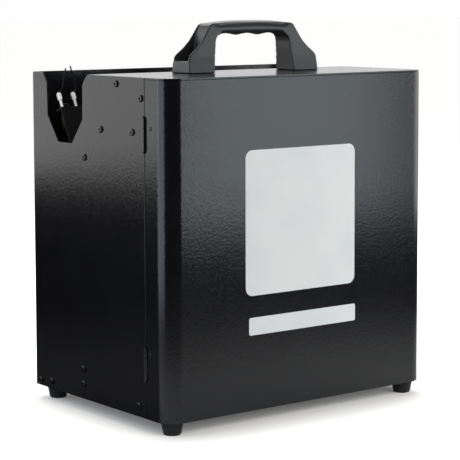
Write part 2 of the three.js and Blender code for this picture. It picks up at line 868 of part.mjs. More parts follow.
function makeValveRail() {
  const width = 2 * seatHalfWidth;
  const lipTop = railBottom + railFlange;
  const web = centredBlock(width, railFront, railRear, railBottom, railBottom + railThickness);
  const front = centredBlock(width, railFront, railFront + railThickness, railBottom, lipTop);
  const rear = centredBlock(width, railRear - railThickness, railRear, railBottom, lipTop);
  const ends = sideFlanges(
    railThickness,
    railFront,
    railRear,
    railBottom,
    railBottom + railEndFlange,
  );
  const cupBottom = railBottom - socketHeight;
  const roof = railBottom - socketRoof;
  const stubFront = canDepth + socketBore + railThickness;
  const stubRear = canDepth + socketRadius + pipeStubLength;
  const cups = stations.flatMap(({ can }) => [
    barZ(socketRadius, cupBottom, railBottom + railThickness / 2).translate(can, canDepth, 0),
    barY(pipeStubRadius, stubFront, stubRear, smallSides).translate(can, 0, pipeHeight),
  ]);
  const seatTop = railBottom - railThickness;
  const bores = stations.flatMap(({ can }) => [
    barZ(socketBore, cupBottom - overrun, roof).translate(can, canDepth, 0),
    barZ(socketSeatRadius, roof - overrun, seatTop, smallSides).translate(can, canDepth, 0),
  ]);
  return cut(join(web, front, rear, ...ends, ...cups), ...bores);
}

function makeGasPipe({ x, can }) {
  const stubEnd = canDepth + socketRadius + pipeStubLength;
  const valveStubEnd = stationDepth - valveBlock / 2 - valveStubLength;
  const start = new THREE.Vector3(can, stubEnd + sheetGap, pipeHeight);
  const end = new THREE.Vector3(x, valveStubEnd - sheetGap, valveInlet);
  const through = start.clone().setY(bulkheadRear + sheet);
  const bend = (end.y - through.y) * pipeBendShare;
  const leave = through.clone().setY(through.y + bend);
  const arrive = end.clone().setY(end.y - bend);
  const path = new THREE.CurvePath();
  path.add(new THREE.LineCurve3(start, through));
  path.add(new THREE.CubicBezierCurve3(through, leave, arrive, end));
  return tubeAlong(path, pipeRadius, longSteps, pipeSides);
}

function makeSolenoidValve() {
  const front = stationDepth - valveBlock / 2;
  const bottom = valveTop - valveBlockHeight;
  const body = centredBlock(valveBlock, front, front + valveBlock, bottom, valveTop);
  const coilTop = bottom + valveCoilOverlap;
  const coilFront = stationDepth - valveCoilDepth / 2;
  const coil = centredBlock(
    valveCoilWidth,
    coilFront,
    coilFront + valveCoilDepth,
    coilTop - valveCoilHeight,
    coilTop,
  );
  const stub = barY(pipeStubRadius, front - valveStubLength, front + overrun, smallSides);
  const port = barZ(nozzleStemRadius / 2, valveInlet, valveTop + overrun, smallSides);
  return cut(
    join(body, coil, stub.translate(0, 0, valveInlet)),
    port.translate(0, stationDepth, 0),
  );
}

// Ignition

function makeIgnitionModule() {
  const front = bulkheadRear + sheetGap;
  const half = moduleWidth / 2;
  const body = block(
    moduleShift - half,
    moduleShift + half,
    front,
    front + moduleDepth,
    moduleTop - moduleHeight,
    moduleTop,
  );
  const outlets = stations.map(({ outlet }) =>
    barZ(moduleOutletRadius, moduleTop - overrun, moduleTop + moduleOutletHeight, smallSides).translate(
      moduleShift + outlet,
      front + moduleDepth / 2,
      0,
    ),
  );
  return join(body, ...outlets);
}

// A lead runs up from its outlet through the trough's floor and forks to the two insulators
function makeIgnitionLead({ x, outlet, hole }) {
  const start = new THREE.Vector3(
    moduleShift + outlet,
    bulkheadRear + sheetGap + moduleDepth / 2,
    moduleTop + moduleOutletHeight + sheetGap,
  );
  const fork = new THREE.Vector3(x + hole, leadHoleDepth, troughFloor + grommetRise);
  const below = fork.clone().setZ(troughUnderside - 2 * sheet);
  const leave = start.clone().setZ(start.z + leadBend);
  const arrive = below.clone().setZ(below.z - leadBend);
  const path = new THREE.CurvePath();
  path.add(new THREE.CubicBezierCurve3(start, leave, arrive, below));
  path.add(new THREE.LineCurve3(below, fork));
  const trunk = tubeAlong(path, leadRadius, longSteps, pipeSides);
  const grommet = barZ(grommetRadius, below.z, fork.z + sheet, smallSides);
  const tails = [-1, 1].map((side) => {
    const end = insulatorTop.clone().addScaledVector(insulatorAxis, -insulatorLength - sheetGap);
    end.x = x + (side * insulatorPitch) / 2;
    const near = end.clone().addScaledVector(insulatorAxis, -tailBend);
    const base = fork.clone().setX(fork.x + side * leadTailRadius);
    const above = base.clone().setZ(base.z + tailBend);
    return tubeAlong(new THREE.CubicBezierCurve3(base, above, near, end), leadTailRadius, shortSteps);
  });
  return join(trunk, grommet.translate(fork.x, fork.y, 0), ...tails);
}

// Electronics

function makePowerSupply() {
  const left = -seatHalfWidth + supplyFromLeft;
  const front = bulkheadRear + supplyFromBulkhead;
  const bottom = sheet + sheetGap;
  const body = block(left, left + supplyWidth, front, front + supplyDepth, bottom, bottom + supplyHeight);
  const terminals = block(
    left + (supplyWidth - supplyTerminalWidth) / 2,
    left + (supplyWidth + supplyTerminalWidth) / 2,
    front - supplyTerminalDepth,
    front + overrun,
    bottom,
    bottom + supplyTerminalHeight,
  );
  return join(body, terminals);
}

function buttonPlaces() {
  return buttonNames.map((name, index) => ({
    name,
    x: boardCentreShift + (index - (buttonNames.length - 1) / 2) * -buttonPitch,
    z: boardCentreHeight - buttonDrop,
  }));
}

// The board hangs on standoffs behind the rear panel, and its display fills the panel's window
function makeControlBoard() {
  const back = rearInner - boardBehindPanel;
  const face = back + boardThickness;
  const bottom = boardCentreHeight - boardHeight / 2;
  const board = block(
    boardCentreShift - boardWidth / 2,
    boardCentreShift + boardWidth / 2,
    back,
    face,
    bottom,
    bottom + boardHeight,
  );
  const display = block(
    boardCentreShift - displayWidth / 2,
    boardCentreShift + displayWidth / 2,
    back + boardThickness / 2,
    face + displayRise,
    boardCentreHeight,
    boardCentreHeight + displayHeight,
  );
  const buttonInner = rearInner - sheetGap - buttonCollar;
  const switches = buttonPlaces().map(({ x, z }) =>
    block(
      x - switchBlock / 2,
      x + switchBlock / 2,
      back + boardThickness / 2,
      buttonInner - buttonTravel - sheetGap,
      z - switchBlock / 2,
      z + switchBlock / 2,
    ),
  );
  const standoffs = [-1, 1].flatMap((across) =>
    [-1, 1].map((up) =>
      barY(standoffRadius, back + boardThickness / 2, rearInner - sheetGap, smallSides).translate(
        boardCentreShift + across * (boardWidth / 2 - standoffInset),
        0,
        boardCentreHeight + up * (boardHeight / 2 - standoffInset),
      ),
    ),
  );
  return join(board, display, ...switches, ...standoffs);
}

function makeMenuButton({ x, z }) {
  const inner = rearInner - sheetGap;
  const cap = barY(buttonRadius, inner - buttonCollar / 2, caseDepth + buttonProud, smallSides);
  const collar = barY(buttonRadius + buttonCollar, inner - buttonCollar, inner, smallSides);
  return join(cap, collar).translate(x, 0, z);
}

function makePowerInlet() {
  const seat = caseDepth + sheetGap;
  const outer = seat + inletPlate;
  const halfPlate = inletPlateWidth / 2;
  const halfTall = inletPlateHeight / 2;
  const plate = block(-halfPlate, halfPlate, seat, outer, -halfTall, halfTall);
  const body = block(
    -halfPlate + inletBodyMargin,
    halfPlate - inletBodyMargin,
    outer - inletBodyDepth,
    outer - inletPlate / 2,
    -halfTall + inletBodyMargin,
    halfTall - inletBodyMargin,
  );
  const mouth = block(
    -inletMouthShift - inletMouthWidth / 2,
    -inletMouthShift + inletMouthWidth / 2,
    outer - inletMouthDepth,
    outer + overrun,
    -inletMouthHeight / 2,
    inletMouthHeight / 2,
  );
  const pocket = block(
    rockerShift - rockerWidth / 2 - sheetGap,
    rockerShift + rockerWidth / 2 + sheetGap,
    outer - rockerPocketDepth,
    outer + overrun,
    -rockerHeight / 2 - 2 * sheetGap,
    rockerHeight / 2 + 2 * sheetGap,
  );
  return cut(join(plate, body), mouth, pocket).translate(inletCentreShift, 0, inletCentreHeight);
}

// A seesaw rocker with a shallow dip across its middle, drawn level and tipped to off
function makeMainsRocker() {
  const half = rockerHeight / 2;
  const tip = rockerThickness;
  const rise = Math.sqrt(half * half - tip * tip);
  const outline = [
    [-rockerThickness, -rockerThickness],
    [-rockerThickness, rockerThickness],
    [0, rise],
    [tip, rise],
    [tip - half * Math.sin(rockerTilt), 0],
    [tip, -rise],
    [0, -rise],
  ];
  const x0 = rockerShift - rockerWidth / 2;
  const rocker = prismX(polygon(outline), x0, x0 + rockerWidth).rotateX(rockerTilt);
  const pivot = caseDepth + sheetGap + inletPlate - rockerDepth;
  return rocker.translate(inletCentreShift, pivot, inletCentreHeight);
}

function signalPlaces() {
  return [
    { name: "signal_in_socket", x: ventEdge + signalPitch },
    { name: "signal_out_socket", x: ventEdge + 2 * signalPitch },
  ];
}

function makeSignalSocket({ x }) {
  const seat = caseDepth + sheetGap;
  const outer = seat + socketPlate;
  const plate = centredBlock(socketPlateWidth, seat, outer, -socketPlateHeight / 2, socketPlateHeight / 2);
  const barrel = barY(signalBarrelRadius, outer - signalDepth, outer - socketPlate / 2);
  const bore = barY(signalBore, outer - signalBoreDepth, outer + overrun);
  return cut(join(plate, barrel), bore).translate(x, 0, signalHeight);
}

// Finishes

const finishes = {
  blackPowderCoat: { color: 0x1c1d1e, roughness: 0.5, metalness: 0.15 },
  zincPlate: { color: 0xa9adb0, roughness: 0.4, metalness: 0.85 },
  blackNylon: { color: 0x232425, roughness: 0.55, metalness: 0 },
  blackRubber: { color: 0x161616, roughness: 0.85, metalness: 0 },
  whiteCeramic: { color: 0xf1efe9, roughness: 0.35, metalness: 0 },
  darkSteel: { color: 0x3a3836, roughness: 0.45, metalness: 0.9 },
  brass: { color: 0xb08a4a, roughness: 0.35, metalness: 0.95 },
  silicone: { color: 0x2a2a2b, roughness: 0.6, metalness: 0 },
  copper: { color: 0xb06c49, roughness: 0.35, metalness: 0.95 },
  castAluminium: { color: 0xb7babc, roughness: 0.45, metalness: 0.8 },
  moduleResin: { color: 0x202833, roughness: 0.45, metalness: 0 },
  circuitBoard: { color: 0x1d4a32, roughness: 0.5, metalness: 0.1 },
  greyButton: { color: 0x5a5d60, roughness: 0.5, metalness: 0 },
};

const group = new THREE.Group();
const caseGroup = new THREE.Group();
caseGroup.position.set(0, -caseDepth / 2, footHeight);
group.add(caseGroup);

function place(name, geometry, finish, x = 0) {
  const mesh = new THREE.Mesh(geometry, new THREE.MeshStandardMaterial(finish));
  mesh.name = name;
  mesh.position.set(x, 0, 0);
  caseGroup.add(mesh);
  return mesh;
}

place("base_tray", makeBaseTray(), finishes.blackPowderCoat);
place("left_side_panel", makeLeftSidePanel(), finishes.blackPowderCoat);
place("right_side_panel", makeRightSidePanel(), finishes.blackPowderCoat);
place("rear_panel", makeRearPanel(), finishes.blackPowderCoat);
place("top_plate", makeTopPlate(), finishes.blackPowderCoat);
place("flame_trough", makeFlameTrough(), finishes.blackPowderCoat);
place("bulkhead", makeBulkhead(), finishes.blackPowderCoat);
place("front_door", makeFrontDoor(), finishes.blackPowderCoat);
place("carry_handle", makeCarryHandle(), finishes.blackNylon);

hingeCentreHeights.forEach((centre, index) => {
  const name = hingeNames[index];
  place(name + "_hinge_case_leaf", makeHingeLeaf(centre, 1, true), finishes.blackPowderCoat);
  place(name + "_hinge_door_leaf", makeHingeLeaf(centre, -1, false), finishes.blackPowderCoat);
  place(name + "_hinge_pin", makeHingePin(centre), finishes.zincPlate);
});

place("lock_body", makeLockBody(), finishes.zincPlate);
place("lock_cam", makeLockCam(), finishes.zincPlate);

for (const [frontBack, y] of [["front", footInset], ["rear", caseDepth - footInset]]) {
  for (const [side, x] of [["left", footInset - halfWidth], ["right", halfWidth - footInset]]) {
    const foot = place(frontBack + "_" + side + "_foot", makeFoot(), finishes.blackRubber, x);
    foot.position.y = y;
    foot.position.z = -footHeight;
  }
}

for (const station of stations) {
  const { side, x } = station;
  place(side + "_nozzle", makeNozzle(), finishes.brass, x);
  place(side + "_electrode_bracket", makeElectrodeBracket(), finishes.darkSteel, x);
  place(side + "_insulator_a", makeInsulator(-1), finishes.whiteCeramic, x);
  place(side + "_insulator_b", makeInsulator(1), finishes.whiteCeramic, x);
  place(side + "_electrode_a", makeElectrode(-1), finishes.darkSteel, x);
  place(side + "_electrode_b", makeElectrode(1), finishes.darkSteel, x);
  place(side + "_solenoid_valve", makeSolenoidValve(), finishes.moduleResin, x);
  place(side + "_ignition_lead", makeIgnitionLead(station), finishes.silicone);
  place(side + "_gas_pipe", makeGasPipe(station), finishes.copper);
}

place("valve_rail", makeValveRail(), finishes.castAluminium);
place("ignition_module", makeIgnitionModule(), finishes.moduleResin);
place("power_supply", makePowerSupply(), finishes.castAluminium);
place("control_board", makeControlBoard(), finishes.circuitBoard);

for (const button of buttonPlaces()) {
  place(button.name, makeMenuButton(button), finishes.greyButton);
}

place("power_inlet", makePowerInlet(), finishes.blackNylon);
place("mains_rocker", makeMainsRocker(), finishes.blackNylon);

for (const socket of signalPlaces()) {
  place(socket.name, makeSignalSocket(socket), finishes.zincPlate);
}

export default group;
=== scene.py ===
"""Looks of a stage flame machine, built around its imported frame.

Places and sizes in the classes are millimetres of the case: x from its middle to the right of someone
who looks at the door, y back from the door's face, z up from the underside of the case. at() turns
them into metres of the frame.
"""

import json
import logging
import math
from contextlib import contextmanager
from dataclasses import dataclass
from enum import Enum
from typing import Any, Callable, Iterator, Sequence

import bmesh
import bpy
from mathutils import Matrix, Vector

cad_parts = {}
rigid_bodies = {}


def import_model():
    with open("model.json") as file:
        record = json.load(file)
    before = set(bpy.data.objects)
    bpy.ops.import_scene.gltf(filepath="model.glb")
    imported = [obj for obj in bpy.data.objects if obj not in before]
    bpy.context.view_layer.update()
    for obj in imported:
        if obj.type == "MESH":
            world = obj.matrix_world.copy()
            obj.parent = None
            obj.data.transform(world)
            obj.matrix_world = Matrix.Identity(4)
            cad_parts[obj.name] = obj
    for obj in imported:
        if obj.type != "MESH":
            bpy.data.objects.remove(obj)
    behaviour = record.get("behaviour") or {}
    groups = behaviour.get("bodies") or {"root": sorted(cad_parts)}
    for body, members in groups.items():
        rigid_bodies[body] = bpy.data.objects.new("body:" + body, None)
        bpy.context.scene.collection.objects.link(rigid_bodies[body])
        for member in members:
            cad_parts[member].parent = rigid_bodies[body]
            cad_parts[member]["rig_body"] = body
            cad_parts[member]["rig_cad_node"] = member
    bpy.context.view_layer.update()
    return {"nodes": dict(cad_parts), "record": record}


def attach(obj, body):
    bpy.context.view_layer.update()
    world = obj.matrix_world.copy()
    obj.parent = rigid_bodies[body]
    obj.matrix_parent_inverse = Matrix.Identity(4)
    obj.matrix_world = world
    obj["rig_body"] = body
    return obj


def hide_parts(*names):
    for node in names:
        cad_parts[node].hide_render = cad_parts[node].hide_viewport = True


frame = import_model()

MM = 0.001
CASE_WIDTH = 324.0
CASE_DEPTH = 232.0
CASE_HEIGHT = 320.0
FOOT_HEIGHT = 13.0
PHOTO_SIDE = 460

# Corners closer than this many metres are one, and faces within this many degrees lie flat
WELD = 1e-6
FLAT_DEGREES = 0.5
# Edges sharper than this many degrees are rounded
EDGE_DEGREES = 30.0
# Steps in the rounding of a quarter of a tube's section
TUBE_STEPS = 4
# The burner stations, each with its place across the case
STATIONS = {"left": -142.0, "centre": 0.0, "right": 142.0}

MATH = "ShaderNodeMath"
VECTOR_MATH = "ShaderNodeVectorMath"
MAP_RANGE = "ShaderNodeMapRange"
NOISE = "ShaderNodeTexNoise"

Place = tuple[float, float, float]
Point = tuple[float, float]
Profile = tuple[Point, ...]
Piece = bpy.types.Object
Tree = bpy.types.NodeTree
Socket = bpy.types.NodeSocket

logging.basicConfig(level=logging.INFO, format="%(message)s")
log = logging.getLogger("flame_machine")


class Body(Enum):
    """The moving bodies of the machine."""

    CASE = "case"
    DOOR = "door"
    CAM = "lock_cam"
    ROCKER = "mains_rocker"
    MENU = "menu_button"
    DOWN = "down_button"
    UP = "up_button"
    ENTER = "enter_button"


class Facing(Enum):
    """The way that a fastener's head or a turned piece looks."""

    LEFT = (-1.0, 0.0, 0.0)
    RIGHT = (1.0, 0.0, 0.0)
    REAR = (0.0, 1.0, 0.0)
    UP = (0.0, 0.0, 1.0)
    DOWN = (0.0, 0.0, -1.0)


BACK: Place = Facing.REAR.value


def at(x: float, y: float, z: float) -> Vector:
    """Return a place in case millimetres as metres of the frame."""
    return Vector((x, y - CASE_DEPTH / 2, z + FOOT_HEIGHT)) * MM


# Materials


def linear(code: str) -> tuple[float, float, float, float]:
    """Turn an sRGB hex colour into linear values.

    Args:
        code: The colour, such as "#1c1d1e".

    Returns:
        Red, green and blue, linear, and an alpha of 1.
    """
    values = [int(code[start : start + 2], 16) / 255 for start in (1, 3, 5)]
    red, green, blue = (
        value / 12.92 if value <= 0.04045 else ((value + 0.055) / 1.055) ** 2.4
        for value in values
    )
    return red, green, blue, 1.0


def add_node(
    tree: Tree,
    kind: str,
    settings: dict[Any, Any] | None = None,
    links: dict[Any, Any] | None = None,
) -> bpy.types.Node:
    """Add a shader node, set its values and wire its inputs.

    Args:
        tree: The node tree it goes into.
        kind: The node's type name.
        settings: Values by property name, or by input name or number.
        links: Output sockets, or nodes for their first one, by input name or number.

    Returns:
        The new node.
    """
    node = tree.nodes.new(kind)
    for name, value in (settings or {}).items():
        if isinstance(name, str) and name not in node.inputs:
            setattr(node, name, value)
        else:
            node.inputs[name].default_value = value
    for name, source in (links or {}).items():
        output = source.outputs[0] if isinstance(source, bpy.types.Node) else source
        tree.links.new(output, node.inputs[name])
    return node


def stepped(ends: Point, levels: Point) -> dict[str, Any]:
    """Return the settings of a smooth step between two levels.

    Args:
        ends: Where the step starts and ends.
        levels: The result before and after it.

    Returns:
        The settings by name.
    """
    names = ("From Min", "From Max", "To Min", "To Max")
    return {"interpolation_type": "SMOOTHSTEP", **dict(zip(names, (*ends, *levels)))}


def emptied_tree(owner: Any) -> Tree:
    """Give a material or world an empty node tree.

    Args:
        owner: The material or world.

    Returns:
        Its node tree.
    """
    owner.use_nodes = True
    owner.node_tree.nodes.clear()
    return owner.node_tree


@dataclass(frozen=True)
class Finish:
    """A surface finish, and how its material is made from noise at scales in millimetres.

    The grain is the finest relief, the mottle is a slow drift of colour, and stretch draws the grain
    out along an axis where a surface is brushed or drawn. The real grain of most of these finishes is
    too fine to show in the render, so it is drawn as coarse as its millimetres say.
    """

    name: str
    colour: str
    tint: str
    roughness: float
    spread: float = 0.06
    metallic: float = 0.0
    ior: float = 1.5
    grain_mm: float = 1.0
    grain_depth_mm: float = 0.02
    mottle_mm: float = 35.0
    stretch: Place = (1.0, 1.0, 1.0)
    coat: float = 0.0
    coat_roughness: float = 0.08
    specular: float = 0.5

    def material(self) -> bpy.types.Material:
        """Return the material of this finish, made once."""
        known = bpy.data.materials.get(self.name)
        return known or self.make()

    def make(self) -> bpy.types.Material:
        """Build the node tree of the finish.

        Returns:
            The new material.
        """
        material = bpy.data.materials.new(self.name)
        tree = emptied_tree(material)
        place = add_node(tree, "ShaderNodeTexCoord").outputs["Object"]
        drawn = add_node(tree, "ShaderNodeMapping", {"Scale": self.stretch}, {"Vector": place})
        fine = {"Scale": 1 / (self.grain_mm * MM), "Detail": 3.0, "Roughness": 0.55}
        grain = add_node(tree, NOISE, fine, {"Vector": drawn})
        slow = {"Scale": 1 / (self.mottle_mm * MM), "Detail": 2.0}
        mottle = add_node(tree, NOISE, slow, {"Vector": place})
        share = add_node(tree, MAP_RANGE, {"From Min": 0.35, "From Max": 0.65}, {"Value": mottle})
        tones = {"data_type": "RGBA", 6: linear(self.colour), 7: linear(self.tint)}
        colour = add_node(tree, "ShaderNodeMix", tones, {0: share})
        low, high = self.roughness - self.spread, self.roughness + self.spread
        limits = {"From Min": 0.3, "From Max": 0.7, "To Min": low, "To Max": high}
        rough = add_node(tree, MAP_RANGE, limits, {"Value": grain})
        depth = {"Strength": 1.0, "Distance": self.grain_depth_mm * MM}
        relief = add_node(tree, "ShaderNodeBump", depth, {"Height": grain})
        surface = add_node(
            tree,
            "ShaderNodeBsdfPrincipled",
            {
                "Metallic": self.metallic,
                "IOR": self.ior,
                "Specular IOR Level": self.specular,
                "Coat Weight": self.coat,
                "Coat Roughness": self.coat_roughness,
            },
            {"Base Color": colour.outputs[2], "Roughness": rough, "Normal": relief},
        )
        add_node(tree, "ShaderNodeOutputMaterial", {}, {"Surface": surface})
        return material


SLOT_FINISHES = {
    # Polyester powder, sprayed dry and baked: near black, half gloss, with the orange peel skin that such a
    # coat flows out to. The waves are drawn deeper than real ones, so that they show.
    "powder_coat": Finish(
        "black polyester powder coat", "#0c0c0e", "#101012", 0.18, 0.04, grain_mm=2.4, grain_depth_mm=0.12
    ),
    # Zinc plate, passivated: grey metal with a soft, slightly uneven shine
    "plated_steel": Finish(
        "zinc plated steel", "#a9acae", "#9a9da1", 0.34, 0.08, metallic=1.0, grain_mm=0.8,
        grain_depth_mm=0.006,
    ),
    # Nylon with glass fibre, injection moulded: dark grey with a spark-eroded grain
    "handle_nylon": Finish(
        "moulded glass filled nylon", "#1f1f20", "#252526", 0.42, 0.08, grain_mm=0.9, grain_depth_mm=0.03,
        specular=0.75,
    ),
    # Rubber, moulded: matt black with bloom
    "foot_rubber": Finish(
        "moulded natural rubber", "#141415", "#1b1b1b", 0.62, 0.1, grain_mm=0.7, grain_depth_mm=0.02,
        ior=1.45,
    ),
    # Brass, turned from bar: warm metal with fine tool rings round its axis
    "brass": Finish(
        "turned brass", "#c39a55", "#a9813f", 0.28, 0.08, metallic=1.0, grain_mm=0.5, grain_depth_mm=0.006,
        stretch=(0.15, 0.15, 1.0),
    ),
    # Steel, heat blackened: dark brown grey metal with a dull shine
    "dark_steel": Finish(
        "heat darkened steel", "#4a4643", "#35302d", 0.4, 0.1, metallic=1.0, grain_mm=0.6,
        grain_depth_mm=0.01, mottle_mm=8.0,
    ),
    # Steatite, pressed and glazed: white with a clear skin over it
    "ceramic": Finish(
        "glazed steatite", "#f8f7f3", "#efede7", 0.3, 0.05, grain_mm=1.5, grain_depth_mm=0.004,
        mottle_mm=9.0, coat=0.6,
    ),
    # Filled polyamide, moulded round the valve's coil: dark blue, half gloss
    "valve_steel": Finish(
        "moulded solenoid housing", "#202a38", "#1b2430", 0.4, 0.08, grain_mm=0.8, grain_depth_mm=0.02
    ),
    # Silicone, extruded over wire: soft dark grey, slightly dusty
    "lead_silicone": Finish(
        "extruded silicone rubber", "#232324", "#2b2b2d", 0.5, 0.08, grain_mm=0.6, grain_depth_mm=0.01
    ),
    # Copper pipe, drawn and bent: orange metal, dulled where it was handled
    "copper": Finish(
        "drawn copper pipe", "#b87350", "#96583a", 0.3, 0.1, metallic=1.0, grain_mm=0.8,
        grain_depth_mm=0.008, mottle_mm=14.0,
    ),
    # Aluminium, sand blasted and anodised: pale satin metal
    "rail_aluminium": Finish(
        "blasted aluminium", "#b4b7ba", "#a5a8ab", 0.42, 0.06, metallic=1.0, grain_mm=0.5,
        grain_depth_mm=0.01,
    ),
    # Epoxy, potted into a moulded box: blue black and glossy
    "module_resin": Finish(
        "potted epoxy", "#171d27", "#1f2733", 0.22, 0.05, grain_mm=3.0, grain_depth_mm=0.02, coat=0.3
    ),
    # Glass fibre board with green solder mask
    "circuit_board": Finish(
        "solder masked circuit board", "#14472c", "#1a5535", 0.35, 0.08, grain_mm=0.6, grain_depth_mm=0.008,
        coat=0.3,
    ),
    # ABS, moulded: mid grey caps with a fine matt grain
    "button_plastic": Finish(
        "moulded grey plastic", "#5b5e61", "#54575a", 0.45, 0.08, grain_mm=0.7, grain_depth_mm=0.015
    ),
    # Polycarbonate blend, moulded: black, half gloss
    "black_plastic": Finish(
        "moulded black plastic", "#17171a", "#1c1c1f", 0.36, 0.06, grain_mm=0.8, grain_depth_mm=0.012
    ),
}

# Screen print, two passes: flat pale silver grey, faintly uneven over the coat beneath
PRINT = Finish(
    "pale screen print", "#dfe0de", "#d8dad9", 0.5, 0.06, grain_mm=1.1, grain_depth_mm=0.015, mottle_mm=60.0
)
# Silicone paint, baked on steel near the flame, made darker than the coat as painted shade of the deep
# trough: dead black and matt
SHADE_DARKENED_PAINT = Finish(
    "black paint darkened as painted shade", "#060606", "#0a0a09", 0.6, 0.1, grain_mm=0.7, grain_depth_mm=0.02,
    specular=0.15,
)
# Kanthal rod, oxidised by the spark: almost black metal
ELECTRODE = Finish(
    "oxidised resistance wire", "#1f1c1a", "#2b2622", 0.5, 0.1, metallic=0.9, grain_mm=0.4,
    grain_depth_mm=0.01, mottle_mm=5.0,
)
# Brass darkened as painted shade of the deep trough: dull and dark, warm where it still shines
SHADE_DARKENED_BRASS = Finish(
    "brass darkened as painted shade", "#3a3024", "#221c16", 0.46, 0.12, metallic=1.0, grain_mm=0.5, grain_depth_mm=0.008,
    mottle_mm=6.0,
)
# Steel, blackened in oil: the screws
BLACK_STEEL = Finish(
    "blackened steel screw", "#2a2a2c", "#222224", 0.34, 0.08, metallic=0.9, grain_mm=0.5,
    grain_depth_mm=0.006,
)
# Acrylic, smoked and polished: the display's window
SMOKED_ACRYLIC = Finish(
    "smoked acrylic", "#0b0e0e", "#0d1111", 0.08, 0.02, grain_mm=4.0, grain_depth_mm=0.004, coat=0.4
)
# Diffusing resin of the display's segments while no current lights them
UNLIT_SEGMENT = Finish(
    "unlit segment resin", "#3b2729", "#332224", 0.4, 0.05, grain_mm=0.6, grain_depth_mm=0.004
)


# Modelling


def deselect_all() -> None:
    """Leave every object deselected."""
    bpy.ops.object.select_all(action="DESELECT")


def activate(piece: Piece) -> None:
    """Select one piece alone and make it the active one.

    Args:
        piece: The piece.
    """
    deselect_all()
    piece.select_set(True)
    bpy.context.view_layer.objects.active = piece


@contextmanager
def editing(piece: Piece, kind: str = "FACE") -> Iterator[None]:
    """Hold a piece in edit mode with nothing selected.

    Args:
        piece: The mesh to edit.
        kind: What is selected: VERT, EDGE or FACE.
    """
    activate(piece)
    bpy.ops.object.mode_set(mode="EDIT")
    bpy.ops.mesh.select_mode(type=kind)
    bpy.ops.mesh.select_all(action="DESELECT")
    yield
    bpy.ops.object.mode_set(mode="OBJECT")


def pick_faces(piece: Piece, wanted: Callable[[Vector, Vector], bool]) -> None:
    """Select the faces that a test accepts, in edit mode.

    Args:
        piece: The mesh that is edited.
        wanted: The test on a face's centre and normal.
    """
    mesh = bmesh.from_edit_mesh(piece.data)
    for face in mesh.faces:
        face.select_set(wanted(face.calc_center_median(), face.normal))
    bmesh.update_edit_mesh(piece.data)


def pick_edges(piece: Piece, wanted: Callable[[Vector, Vector], bool]) -> None:
    """Select the edges that a test accepts, in edit mode.

    Args:
        piece: The mesh that is edited.
        wanted: The test on an edge's middle and direction.
    """
    mesh = bmesh.from_edit_mesh(piece.data)
    for edge in mesh.edges:
        one, other = (corner.co for corner in edge.verts)
        edge.select_set(wanted((one + other) / 2, (other - one).normalized()))
    bmesh.update_edit_mesh(piece.data)


def apply_place(piece: Piece) -> None:
    """Put the object's place, turn and scale into its mesh."""
    activate(piece)
    bpy.ops.object.transform_apply(location=True, rotation=True, scale=True)


def modify(piece: Piece, kind: str, **settings: Any) -> None:
    """Add a modifier with its settings and apply it.

    Args:
        piece: The mesh it changes.
        kind: The modifier's type name.
        settings: Its properties.
    """
    activate(piece)
    modifier = piece.modifiers.new(kind.lower(), kind)
    for name, value in settings.items():
        setattr(modifier, name, value)
    bpy.ops.object.modifier_apply(modifier=modifier.name)


def soften(piece: Piece, width_mm: float, segments: int = 2) -> None:
    """Round a piece's edges by a small radius.

    Args:
        piece: The mesh.
        width_mm: The bevel's width in millimetres.
        segments: Steps in the rounding.
    """
    modify(
        piece,
        "BEVEL",
        width=width_mm * MM,
        segments=segments,
        limit_method="ANGLE",
        angle_limit=math.radians(EDGE_DEGREES),
        use_clamp_overlap=True,
    )


def primitive(name: str, add: Callable[..., Any], **settings: Any) -> Piece:
    """Start a piece from one of Blender's own shapes.

    Args:
        name: The piece's name.
        add: What adds the shape.
        settings: Its size, place and turn.

    Returns:
        The new object, with its place in its mesh.
    """
    deselect_all()
    add(**settings)
    piece = bpy.context.active_object
    piece.name = name
    apply_place(piece)
    return piece


def block(name: str, low: Place, high: Place) -> Piece:
    """Start a piece from a block between two corners in case millimetres.

    Args:
        name: The piece's name.
        low: Its lowest corner.
        high: Its highest corner.

    Returns:
        The new object.
    """
    first, last = at(*low), at(*high)
    cube = bpy.ops.mesh.primitive_cube_add
    return primitive(name, cube, size=1, location=(first + last) / 2, scale=last - first)


def rod(name: str, radius: float, start: Place, end: Place, sides: int = 32) -> Piece:
    """Start a piece from a round bar between two places in case millimetres.

    Args:
        name: The piece's name.
        radius: Its radius in millimetres.
        start: The middle of one end.
        end: The middle of the other end.
        sides: How many sides it has.

    Returns:
        The new object.
    """
    first, last = at(*start), at(*end)
    along = last - first
    return primitive(
        name,
        bpy.ops.mesh.primitive_cylinder_add,
        vertices=sides,
        radius=radius * MM,
        depth=along.length,
        location=(first + last) / 2,
        rotation=along.to_track_quat("Z", "Y").to_euler(),
    )


def sketched(name: str, points: Sequence[Vector], filled: bool) -> Piece:
    """Draw a line by extruding one corner from the next.

    Args:
        name: The piece's name.
        points: The corners, in metres.
        filled: Whether the line is closed and filled with a face.

    Returns:
        The new object.
    """
    deselect_all()
    bpy.ops.mesh.primitive_plane_add(size=MM, location=(0, 0, 0))
    piece = bpy.context.active_object
    piece.name = name
    with editing(piece, "VERT"):
        bpy.ops.mesh.select_all(action="SELECT")
        bpy.ops.mesh.merge(type="CENTER")
        bpy.ops.transform.translate(value=points[0])
        for before, after in zip(points, points[1:]):
            bpy.ops.mesh.extrude_region_move(TRANSFORM_OT_translate={"value": after - before})
        if filled:
            bpy.ops.mesh.select_all(action="SELECT")
            bpy.ops.mesh.edge_face_add()
    return piece


